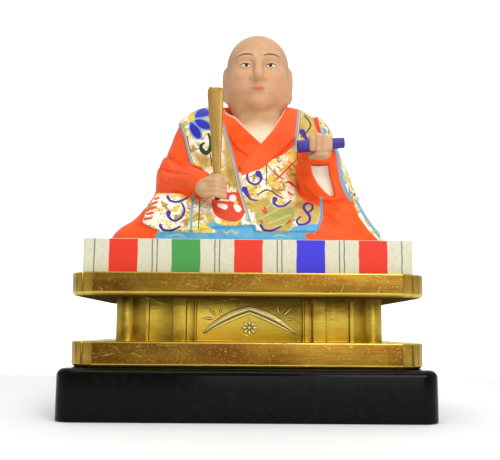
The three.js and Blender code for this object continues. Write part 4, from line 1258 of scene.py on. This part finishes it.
def draw_net(distance, near, low, high, step):
    """Points and four-sided faces over a form, on a net of cubes of the given step."""
    axes = [np.arange(a, b + step, step, dtype=np.float32) for a, b in zip(low, high)]
    grid = np.stack(np.meshgrid(*axes, indexing="ij"), -1)
    values = near(grid)
    close = np.abs(values) < NET_BAND
    values[close] = distance(grid[close])
    shape = np.array(values.shape)
    cells = shape - 1
    total = np.zeros((*cells, 3), np.float32)
    count = np.zeros(cells, np.float32)
    crossings = []
    for axis in range(3):
        first = np.take(values, range(0, shape[axis] - 1), axis)
        second = np.take(values, range(1, shape[axis]), axis)
        crosses = (first < 0) != (second < 0)
        share = np.where(crosses, first / np.where(crosses, first - second, 1), 0)
        corner = np.take(grid, range(0, shape[axis] - 1), axis)
        place = corner * crosses[..., None]
        place[..., axis] += share * step
        others = [other for other in range(3) if other != axis]
        for a in (0, 1):
            for b in (0, 1):
                window = [slice(None)] * 3
                window[others[0]] = slice(a, a + cells[others[0]])
                window[others[1]] = slice(b, b + cells[others[1]])
                total += place[tuple(window)]
                count += crosses[tuple(window)]
        crossings.append((axis, others, np.argwhere(crosses), first[crosses] < 0))
    used = count > 0
    number = np.full(cells, -1, np.int64)
    number[used] = np.arange(used.sum())
    points = total[used] / count[used][:, None]
    faces = []
    for axis, others, places, outward in crossings:
        b, c = others
        first, second = places[:, b], places[:, c]
        inner = (first > 0) & (second > 0) & (first < cells[b]) & (second < cells[c])
        places, outward = places[inner], outward[inner]
        ring = []
        for db, dc in ((-1, -1), (0, -1), (0, 0), (-1, 0)):
            at = places.copy()
            at[:, b] += db
            at[:, c] += dc
            ring.append(number[tuple(at.T)])
        ring = np.stack(ring, -1)
        turned = outward if axis != 1 else ~outward
        faces.append(np.where(turned[:, None], ring, ring[:, ::-1]))
    return points, np.concatenate(faces)


def mesh_object(name, points, faces):
    """A mesh object from points in millimetres above the mat, and faces of four corners."""
    mesh = bpy.data.meshes.new(name)
    placed = (points + (0, 0, SEAT)) * MM
    mesh.vertices.add(len(placed))
    mesh.vertices.foreach_set("co", placed.astype(np.float32).ravel())
    mesh.loops.add(faces.size)
    mesh.loops.foreach_set("vertex_index", faces.astype(np.int32).ravel())
    mesh.polygons.add(len(faces))
    mesh.polygons.foreach_set("loop_start", np.arange(0, faces.size, 4, dtype=np.int32))
    mesh.update(calc_edges=True)
    mesh.validate()
    piece = bpy.data.objects.new(name, mesh)
    bpy.context.scene.collection.objects.link(piece)
    return piece


def mesh_points(piece):
    flat = np.zeros(len(piece.data.vertices) * 3, np.float32)
    piece.data.vertices.foreach_get("co", flat)
    return flat.reshape(-1, 3) / MM - np.array((0, 0, SEAT), np.float32)


def move_points(piece, points):
    placed = (points + (0, 0, SEAT)) * MM
    piece.data.vertices.foreach_set("co", placed.astype(np.float32).ravel())
    piece.data.update()


def write_attribute(piece, name, values):
    attribute = piece.data.attributes.new(name, "FLOAT", "POINT")
    attribute.data.foreach_set("value", np.asarray(values, np.float32))


def cut_flat(piece, height):
    """Cuts a piece off level at a height, and closes the cut."""
    plane = {"plane_co": (0, 0, height * MM), "plane_no": (0, 0, 1)}
    reshape(piece, bpy.ops.mesh.bisect, **plane, use_fill=True, clear_inner=True, threshold=1e-7)


def body_and_arms(points):
    d = body_distance(points)
    for name in ARM_PARTS:
        d = np.minimum(d, to_limb(points, LIMBS[name]))
    return d


def make_robe(robe):
    """Draws a net over the robe's form, cuts it flat on the mat, and paints it."""
    points, faces = draw_net(robe_distance, body_and_arms, ROBE_LOW, ROBE_HIGH, robe.net_step / MM)
    piece = mesh_object("painted_robe", settle_on(robe_distance, points), faces)
    cut_flat(piece, SEAT)
    refine_front(piece)
    paint_robe(piece)
    return shade(piece)


def refine_front(piece):
    """Divides the painted faces in front more finely, and settles them on the form again."""
    choose(piece)
    points = mesh_points(piece)
    across, _ = on_board(points)
    wanted = (points[:, 1] < FINE_FRONT["back"]) & (points[:, 2] > FINE_FRONT["bottom"])
    wanted &= (across < FINE_FRONT["right"]) & (across > FINE_FRONT["left"])
    for face in piece.data.polygons:
        face.select = len(face.vertices) == 4 and all(wanted[i] for i in face.vertices)
    bpy.ops.object.mode_set(mode="EDIT")
    bpy.ops.mesh.select_mode(type="FACE")
    bpy.ops.mesh.subdivide(number_cuts=1)
    bpy.ops.object.mode_set(mode="OBJECT")
    points = mesh_points(piece)
    loose = points[:, 2] > 0.05
    points[loose] = settle_on(robe_distance, points[loose], rounds=2)
    move_points(piece, points)


def facing(piece):
    """Which way each point's surface faces."""
    flat = np.zeros(len(piece.data.vertices) * 3, np.float32)
    piece.data.vertex_normals.foreach_get("vector", flat)
    return flat.reshape(-1, 3)


def paint_robe(piece):
    """Writes the painted areas as attributes: how far each point is inside them."""
    points, faces = mesh_points(piece), facing(piece)
    across, up = on_board(points)
    seen = (points[:, 1] < TURN_Y) & (faces[:, 1] < FACING["front"])
    shoulder, stole = inside(SHOULDER_PANEL, across, up), inside(STOLE, across, up)
    panels = np.maximum.reduce([shoulder, stole] + [
        inside(outline, across, up) for outline in (KNEE_PANEL, FAR_STRIP, BROCADE_FOOT)
    ])
    brocade = np.where(points[:, 1] < TURN_Y, panels, inside(BACK_STOLE, points[:, 0], points[:, 2]))
    collars = np.maximum(inside(OVER_COLLAR, across, up), inside(UNDER_COLLAR, across, up))
    collars = np.where(across > BORDER_PARTING, np.minimum(collars, -stole), collars)
    left_arm = 1 - np.minimum(to_limb(points, LIMBS["left_forearm"]), to_limb(points, LIMBS["left_sleeve"]))
    left_arm = np.where(seen, np.minimum(left_arm, -inside(OUTER_STOLE, across, up)), left_arm)
    x, y = COLLAR_RING["centre"]
    ring = COLLAR_RING["reach"] - np.hypot(points[:, 0] - x, points[:, 1] - y)
    plain = np.maximum.reduce([
        np.where(points[:, 2] > COLLAR_RING["bottom"], ring, OUTSIDE),
        np.where(seen, collars, OUTSIDE),
        np.where(seen, inside(SLEEVE_RIM, across, up), OUTSIDE),
        1 - to_limb(points, LIMBS["right_forearm"]), left_arm,
    ])
    write_attribute(piece, "brocade", np.minimum(brocade, -plain))
    sideways = np.abs(faces[:, 0]) > FACING["edge"]
    near_border = np.minimum.reduce([to_stroke(line, across, up) for line in BORDER_LINES])
    edge = np.where(across < BORDER_PARTING, shoulder, stole)
    write_attribute(piece, "border", edge)
    write_attribute(piece, "border_line", np.where(seen, near_border, 9))
    write_attribute(piece, "back_border", np.where(seen, OUTSIDE, brocade))
    write_attribute(piece, "throat", np.where(seen, inside(THROAT, across, up), OUTSIDE))
    # The sleeve's mouth, painted a deeper red as painted shadow, and its white lining within it
    for name, outline in (("mouth", SLEEVE_MOUTH), ("lining", SLEEVE_LINING)):
        forward = seen & (points[:, 1] < MOUTH_FRONT["paint"])
        write_attribute(piece, name, np.where(forward, inside(outline, across, up), OUTSIDE))
    layers = {
        "hem": ([], [HEM]), "olive": ([], [OLIVE_GROUND]), "umber": ([], UMBER_GROUNDS),
        "petal": ([], PETALS), "scarlet": (SCARLET_STROKES, [RED_DISC, RED_LEAF]),
        "dark": (DARK_STROKES, []), "green": (GREEN_STROKES, []), "pale_green": (PALE_GREEN_STROKES, []),
        "white": (WHITE_STROKES, []), "yellow": (YELLOW_STROKES, []), "sky": (SKY_STROKES, []),
        "stripes": (RED_STRIPES, []), "hem_gold": (HEM_STROKES, []),
    }
    for name, (strokes, outlines) in layers.items():
        depth = painted(strokes, outlines, across, up)
        write_attribute(piece, name, np.where(seen & ~sideways, depth, OUTSIDE))
    ink = painted([moved(*stroke) for stroke in INK_STROKES], [], across, up)
    back_ink = painted([moved(*stroke) for stroke in BACK_CURLS], [], points[:, 0], points[:, 2])
    side_ink = painted([moved(*stroke) for stroke in SIDE_CURLS], [], points[:, 1], points[:, 2])
    to_side = np.abs(faces[:, 0]) > FACING["side"]
    hidden_ink = np.where(to_side, side_ink, np.where(faces[:, 1] > 0, back_ink, OUTSIDE))
    write_attribute(piece, "ink", np.where(seen & ~to_side, ink, hidden_ink))


def make_head():
    """Wraps a fine ball of points onto the head, closer together round the face."""
    turns = np.linspace(-math.pi, math.pi, HEAD_COLUMNS, endpoint=False)
    turns = turns - HEAD_CROWDING * np.sin(turns)
    rises = np.linspace(0, 1, HEAD_ROWS + 1)[1:-1]
    turn, rise = np.meshgrid(turns, rises)
    turn = np.append(turn.ravel(), (0, 0))
    rise = np.append(rise.ravel(), (0, 1))
    (back, height), (more_back, more_height) = HEAD_CORE["start"], HEAD_CORE["rise"]
    origin = np.stack([
        np.full_like(rise, FACE_MIDDLE), back + more_back * rise, height + more_height * rise,
    ], -1)
    lean = math.pi * (rise - 0.5)
    ray = np.stack([np.sin(turn) * np.cos(lean), -np.cos(turn) * np.cos(lean), np.sin(lean)], -1)
    reach = np.full(len(rise), float(HEAD_CORE["reach"]))
    for _ in range(HEAD_CORE["rounds"]):
        gap = head_distance((origin + ray * reach[:, None]).astype(np.float32))
        reach = np.maximum(reach - gap * 0.8, 0.5)
    points = origin + ray * reach[:, None]
    rows = HEAD_ROWS - 1
    low, high = rows * HEAD_COLUMNS, rows * HEAD_COLUMNS + 1
    column = np.arange(HEAD_COLUMNS)
    after = (column + 1) % HEAD_COLUMNS
    quads = [
        np.stack([r * HEAD_COLUMNS + column, r * HEAD_COLUMNS + after,
                  (r + 1) * HEAD_COLUMNS + after, (r + 1) * HEAD_COLUMNS + column], -1)
        for r in range(rows - 1)
    ]
    top = (rows - 1) * HEAD_COLUMNS
    caps = [(low, int(b), int(a)) for a, b in zip(column, after)]
    caps += [(top + int(a), top + int(b), high) for a, b in zip(column, after)]
    mesh = bpy.data.meshes.new("carved_head")
    placed = (points + (0, 0, SEAT)) * MM
    mesh.from_pydata(placed.tolist(), [], np.concatenate(quads).tolist() + caps)
    mesh.update()
    piece = bpy.data.objects.new("carved_head", mesh)
    bpy.context.scene.collection.objects.link(piece)
    paint_head(piece)
    return shade(piece)


def paint_head(piece):
    """Writes the features as brush strokes, and the soft areas of blush, of shaved scalp and of painted shade
    on the head's sides.
    """
    points = mesh_points(piece)
    out, up = np.abs(points[:, 0] - FACE_MIDDLE), points[:, 2]
    face = points[:, 1] < -5
    for name, strokes in FEATURES.items():
        write_attribute(piece, name, np.where(face, painted(strokes, [], out, up), OUTSIDE))
    from_blush = ((out - BLUSH["out"]) / BLUSH["reach"]) ** 2 + ((up - BLUSH["up"]) / BLUSH["reach"]) ** 2
    write_attribute(piece, "blush", np.exp(-from_blush) * face)
    # The scalp's slopes: greyer towards the back, the crown and the sides; on the sides of the face the grey
    # is painted shade
    places = {"back": points[:, 1], "crown": up, "side": out, "foot": up}
    slopes = {}
    for name, (first, length, strength) in SCALP_AND_SIDE_SHADE.items():
        slopes[name] = strength * np.clip((places[name] - first) / length, 0, 1)
    foot = slopes.pop("foot")
    write_attribute(piece, "scalp", foot * np.maximum.reduce(list(slopes.values())))


def add_rod(start, end, radius):
    """A rounded rod: a cylinder with a ball at each end."""
    deselect()
    start, end = Vector(start), Vector(end)
    along = end - start
    bpy.ops.mesh.primitive_cylinder_add(
        vertices=20, radius=radius * MM, depth=along.length * MM, location=(start + end) / 2 * MM,
    )
    rod = bpy.context.object
    rod.rotation_euler = along.to_track_quat("Z", "Y").to_euler()
    settle(rod)
    return [rod, add_ball(start, (radius,) * 3), add_ball(end, (radius,) * 3)]


def make_fist(name, fist, fineness):
    """A palm, a wrist and bent fingers, run together as one carving."""
    parts = [add_ball(*fist["palm"]), *add_rod(*fist["wrist"])]
    for line in [*fist["fingers"], fist["thumb"]]:
        for start, end in zip(line, line[1:]):
            parts += add_rod(start, end, fist["finger_radius"])
    hand = join(parts, name)
    hand.location = (0, 0, SEAT * MM)
    settle(hand)
    finish_with(hand, "REMESH", mode="VOXEL", voxel_size=fineness)
    finish_with(hand, "SMOOTH", **HAND_SMOOTHING)
    return shade(reshape(hand, bpy.ops.mesh.dissolve_degenerate, threshold=0.01 * MM))


def make_baton(softness):
    layers = []
    for (x, y, z), width, depth in BATON:
        w, d = width / 2, depth / 2
        layers.append(([(x + across * w, y + along * d) for across, along in BATON_SECTION], z + SEAT))
    return soften_edges(outlined_slab("gilt_baton", layers), softness, angle=20)


def make_scroll(held):
    start, end = (Vector(point) for point in SCROLL_ENDS)
    along = end - start
    deselect()
    bpy.ops.mesh.primitive_cone_add(
        vertices=40, radius1=held.scroll_left, radius2=held.scroll_right, depth=along.length * MM,
    )
    piece = bpy.context.object
    for face in piece.data.polygons:
        face.select = abs(face.normal.z) > 0.9
    bpy.ops.object.mode_set(mode="EDIT")
    for thickness, depth in SCROLL_INSETS:
        bpy.ops.mesh.inset(thickness=thickness * MM, depth=depth * MM, use_individual=True)
    bpy.ops.object.mode_set(mode="OBJECT")
    piece.rotation_euler = along.to_track_quat("Z", "Y").to_euler()
    piece.location = ((start + end) / 2 + Vector((0, 0, SEAT))) * MM
    settle(piece)
    piece.name = "blue_scroll"
    return soften_edges(piece, held.edge_softness, angle=30)


# The stage

def add_light(name, watts, place, size, tint, target=LIT_PLACE):
    deselect()
    bpy.ops.object.light_add(type="AREA", location=place)
    light = bpy.context.object
    light.name = name
    light.data.shape = "RECTANGLE"
    light.data.size, light.data.size_y = size
    light.data.energy = watts
    light.data.color = tint
    light.rotation_euler = (Vector(target) - Vector(place)).to_track_quat("-Z", "Y").to_euler()
    return light


def make_camera(lens):
    azimuth, pitch, roll = (math.radians(a) for a in (CAMERA_AZIMUTH, CAMERA_PITCH, CAMERA_ROLL))
    level_reach = math.cos(pitch)
    ahead = Vector((-math.sin(azimuth) * level_reach, math.cos(azimuth) * level_reach, math.sin(pitch)))
    level = ahead.cross(Vector((0, 0, 1))).normalized()
    upright = level.cross(ahead)
    right = level * math.cos(roll) + upright * math.sin(roll)
    above = upright * math.cos(roll) - level * math.sin(roll)
    deselect()
    bpy.ops.object.camera_add()
    camera = bpy.context.object
    turned = Matrix((right, above, -ahead)).transposed().to_4x4()
    camera.matrix_world = Matrix.Translation(Vector(CAMERA_PLACE) * MM) @ turned
    camera.data.lens = lens
    camera.data.sensor_width = 36
    camera.data.clip_start = 0.01
    bpy.context.scene.camera = camera


def make_floor(pale):
    """A floor that bends up into a backdrop far behind."""
    deselect()
    bpy.ops.mesh.primitive_plane_add(size=FLOOR["size"], location=(0, 0, 0))
    floor = bpy.context.object
    floor.name = "floor"
    bpy.ops.object.mode_set(mode="EDIT")
    bpy.ops.mesh.select_all(action="DESELECT")
    bpy.ops.object.mode_set(mode="OBJECT")
    for edge in floor.data.edges:
        edge.select = all(floor.data.vertices[i].co.y > 0 for i in edge.vertices)
    bpy.ops.object.mode_set(mode="EDIT")
    bpy.ops.mesh.extrude_region_move(TRANSFORM_OT_translate={"value": (0, 0, FLOOR["height"])})
    bpy.ops.object.mode_set(mode="OBJECT")
    finish_with(floor, "BEVEL", width=FLOOR["bend"], segments=16, limit_method="ANGLE")
    settle(shade(floor))
    floor.data.materials.append(plain_floor("pale_floor", pale))


def make_lights(stage):
    """Broad soft lights, and a studio that is darker behind the camera than above and beside it."""
    powers = {"key": stage.key_power, "fill": stage.fill_power, "top": stage.top_power}
    for name, light in LIGHTS.items():
        add_light(name, **light | {"watts": powers.get(name, light["watts"])})
    world = bpy.data.worlds.new("studio")
    world.use_nodes = True
    tree = world.node_tree
    place = tree.nodes.new("ShaderNodeTexCoord")
    split = tree.nodes.new("ShaderNodeSeparateXYZ")
    tree.links.new(place.outputs["Generated"], split.inputs[0])
    rise = tree.nodes.new("ShaderNodeMapRange")
    rise.interpolation_type = "SMOOTHSTEP"
    for key, value in STUDIO.items():
        rise.inputs[key].default_value = value
    tree.links.new(split.outputs["Y"], rise.inputs["Value"])
    tree.nodes["Background"].inputs["Color"].default_value = STUDIO_TINT
    tree.links.new(rise.outputs["Result"], tree.nodes["Background"].inputs["Strength"])
    bpy.context.scene.world = world
    bpy.context.scene.view_settings.view_transform = "Standard"


# Settings, operators and panel

def size(name, description, millimetres):
    return bpy.props.FloatProperty(
        name=name, description=description, default=millimetres * MM, min=0, unit="LENGTH",
    )


def tint(name, description, *values):
    return bpy.props.FloatVectorProperty(
        name=name, description=description, default=colour(*values), size=4, min=0, max=1, subtype="COLOR",
    )


def power(name, description, watts):
    return bpy.props.FloatProperty(name=name, description=description, default=watts, min=0, unit="POWER")


class ALTAR_PG_dais(bpy.types.PropertyGroup):
    base_width: size("Board width", "How wide the lacquered board is", BASE["width"])
    base_depth: size("Board depth", "How deep the lacquered board is", BASE["depth"])
    base_corner: size("Board corner", "Radius of the board's four corners seen from above", BASE["corner"])
    base_rounding: size("Board rounding", "Radius of the board's upper edge", BASE["rounding"])
    tier_chamfer: size("Tier chamfer", "How far each tier's lower edge is cut back", TIER_CHAMFER)
    edge_softness: size("Edge softness", "How far the gilt edges are rounded", 0.22)
    mat_rounding: size("Mat rounding", "Radius of the mat's corners", MAT["rounding"])
    stripe_width: size("Stripe width", "How wide each painted stripe is", STRIPE["width"])
    lacquer: tint("Lacquer", "The board's black", 5, 6, 4)
    gold: tint("Gold", "Gold leaf where it is whole", 138, 103, 31)
    rubbed_gold: tint("Rubbed gold", "Gold leaf where it is rubbed through", 106, 66, 16)
    # The waist's leaf is a brighter copy of the tiers' gold: painted light on the waist, which the upper tier
    # shades
    painted_light_waist_gold: tint("Waist gold", "Gold leaf on the waist", 186, 158, 56)
    mat_white: tint("Mat white", "The mat's ground", 216, 213, 190)
    stripe_red: tint("Red stripe", "The mat's red stripes", 222, 56, 40)
    stripe_green: tint("Green stripe", "The mat's green stripe", 72, 152, 78)
    stripe_blue: tint("Blue stripe", "The mat's blue stripe", 64, 54, 208)


class ALTAR_PG_figure(bpy.types.PropertyGroup):
    net_step: size("Net step", "How finely the robe is drawn", ROBE_STEP)
    hand_fineness: size("Hand fineness", "How finely the hands are drawn", HAND_VOXEL)
    red_cloth: tint("Red cloth", "The plain red of sleeves, collars and skirt", 250, 92, 28)
    brocade_cream: tint("Brocade cream", "The brocade's pale ground", 250, 244, 220)
    brocade_gold: tint("Brocade gold", "The brocade's yellow patches", 222, 194, 96)
    hem_blue: tint("Hem blue", "The light blue hem", 86, 164, 210)
    ink: tint("Curl blue", "The dark blue painted curls", 66, 46, 150)
    skin: tint("Skin", "The painted head and hands", 207, 164, 126)


class ALTAR_PG_held(bpy.types.PropertyGroup):
    scroll_left: size("Scroll left radius", "The scroll's radius at its left end", SCROLL_RADII[0])
    scroll_right: size("Scroll right radius", "The scroll's radius at its right end", SCROLL_RADII[1])
    edge_softness: size("Edge softness", "How far the edges of held things are rounded", 0.11)
    baton_gold: tint("Baton gold", "The baton's gilding", 172, 136, 58)
    scroll_blue: tint("Scroll blue", "The scroll's blue", 52, 42, 146)


class ALTAR_PG_stage(bpy.types.PropertyGroup):
    key_power: power("Key light", "Power of the main light", LIGHTS["key"]["watts"])
    fill_power: power("Fill light", "Power of the light that softens shadows", LIGHTS["fill"]["watts"])
    top_power: power("Top light", "Power of the light above", LIGHTS["top"]["watts"])
    lens: bpy.props.FloatProperty(
        name="Lens", description="The camera's focal length", default=CAMERA_LENS, min=1, unit="CAMERA",
    )
    floor_white: tint("Floor", "The pale floor and backdrop", 250, 250, 249)


class ALTAR_OT_stage(bpy.types.Operator):
    """Set up the floor, the lights and the camera"""

    bl_idname = "altar.stage"
    bl_label = "Set up the stage"

    def execute(self, context):
        stage = context.scene.altar_stage
        make_camera(stage.lens)
        make_floor(stage.floor_white[:])
        make_lights(stage)
        return {"FINISHED"}


class ALTAR_OT_base(bpy.types.Operator):
    """Build the black lacquered board that the dais stands on"""

    bl_idname = "altar.base"
    bl_label = "Build the lacquered board"

    def execute(self, context):
        dais = context.scene.altar_dais
        lacquer = black_lacquer("black_lacquer", dais.lacquer[:])
        hand_in(make_base(dais), "lacquer_base", lacquer)
        return {"FINISHED"}


class ALTAR_OT_tiers(bpy.types.Operator):
    """Build both gilt slabs with their indented corners"""

    bl_idname = "altar.tiers"
    bl_label = "Build the gilt tiers"

    def execute(self, context):
        dais = context.scene.altar_dais
        gold = gold_leaf("gold_leaf", dais.gold[:], dais.rubbed_gold[:], 0)
        hand_in(make_tier("lower_tier", LOWER_TIER, dais), "lower_gilt_tier", gold)
        hand_in(make_tier("upper_tier", UPPER_TIER, dais), "upper_gilt_tier", gold)
        return {"FINISHED"}


class ALTAR_OT_waist(bpy.types.Operator):
    """Build the narrow waist with its posts, its bays and its carved panel"""

    bl_idname = "altar.waist"
    bl_label = "Build the carved waist"

    def execute(self, context):
        dais = context.scene.altar_dais
        # A brighter, less rubbed and less streaked copy of the leaf: painted light on the shaded waist
        gold = gold_leaf("painted_light_waist_leaf", dais.painted_light_waist_gold[:], dais.rubbed_gold[:], 1)
        hand_in(make_waist(dais), "waist", gold)
        return {"FINISHED"}


class ALTAR_OT_mat(bpy.types.Operator):
    """Build the mat with its striped edge"""

    bl_idname = "altar.mat"
    bl_label = "Build the striped mat"

    def execute(self, context):
        dais = context.scene.altar_dais
        hand_in(make_mat(dais), "striped_mat", mat_paint("mat_paint", dais))
        return {"FINISHED"}


class ALTAR_OT_robe(bpy.types.Operator):
    """Build the robe with its cloths, collars and sleeves"""

    bl_idname = "altar.robe"
    bl_label = "Build the robe"

    def execute(self, context):
        robe = context.scene.altar_figure
        hand_in(make_robe(robe), "figure", robe_paint("robe_paint", robe))
        return {"FINISHED"}


class ALTAR_OT_head(bpy.types.Operator):
    """Build the head and neck"""

    bl_idname = "altar.head"
    bl_label = "Build the head"

    def execute(self, context):
        skin = skin_paint("head_paint", context.scene.altar_figure.skin[:], with_features=True)
        hand_in(make_head(), "figure", skin)
        return {"FINISHED"}


class ALTAR_OT_hands(bpy.types.Operator):
    """Build both closed hands"""

    bl_idname = "altar.hands"
    bl_label = "Build the hands"

    def execute(self, context):
        figure = context.scene.altar_figure
        skin = skin_paint("hand_paint", figure.skin[:])
        for name, fist in (("right_hand", RIGHT_FIST), ("left_hand", LEFT_FIST)):
            hand_in(make_fist(name, fist, figure.hand_fineness), "figure", skin)
        return {"FINISHED"}


class ALTAR_OT_baton(bpy.types.Operator):
    """Build the baton in the right hand"""

    bl_idname = "altar.baton"
    bl_label = "Build the baton"

    def execute(self, context):
        held = context.scene.altar_held
        gold = baton_paint("baton_gold", held.baton_gold[:])
        hand_in(make_baton(held.edge_softness * 2), "baton", gold)
        return {"FINISHED"}


class ALTAR_OT_scroll(bpy.types.Operator):
    """Build the rolled scroll in the left hand"""

    bl_idname = "altar.scroll"
    bl_label = "Build the scroll"

    def execute(self, context):
        held = context.scene.altar_held
        blue = scroll_paint("scroll_paint", held.scroll_blue[:])
        hand_in(make_scroll(held), "scroll", blue)
        return {"FINISHED"}


STEPS = (
    ALTAR_OT_stage, ALTAR_OT_base, ALTAR_OT_tiers, ALTAR_OT_waist, ALTAR_OT_mat,
    ALTAR_OT_robe, ALTAR_OT_head, ALTAR_OT_hands, ALTAR_OT_baton, ALTAR_OT_scroll,
)


class ALTAR_PT_panel(bpy.types.Panel):
    """Lists the settings, and the steps in the order they are used"""

    bl_idname = "ALTAR_PT_panel"
    bl_label = "Altar figure"
    bl_space_type = "VIEW_3D"
    bl_region_type = "UI"
    bl_category = "Altar figure"

    def draw(self, context):
        for name, group in GROUPS.items():
            box = self.layout.box()
            for setting in group.__annotations__:
                box.prop(getattr(context.scene, name), setting)
        for step in STEPS:
            self.layout.operator(step.bl_idname)


GROUPS = {
    "altar_dais": ALTAR_PG_dais, "altar_figure": ALTAR_PG_figure,
    "altar_held": ALTAR_PG_held, "altar_stage": ALTAR_PG_stage,
}


def register():
    for made in (*GROUPS.values(), *STEPS, ALTAR_PT_panel):
        bpy.utils.register_class(made)
    for name, group in GROUPS.items():
        setattr(bpy.types.Scene, name, bpy.props.PointerProperty(type=group))


def unregister():
    for name in GROUPS:
        delattr(bpy.types.Scene, name)
    for made in reversed((*GROUPS.values(), *STEPS, ALTAR_PT_panel)):
        bpy.utils.unregister_class(made)


def main():
    register()
    bpy.ops.altar.stage()
    bpy.ops.altar.base()
    bpy.ops.altar.tiers()
    bpy.ops.altar.waist()
    bpy.ops.altar.mat()
    bpy.ops.altar.robe()
    bpy.ops.altar.head()
    bpy.ops.altar.hands()
    bpy.ops.altar.baton()
    bpy.ops.altar.scroll()


if __name__ == "__main__":
    main()
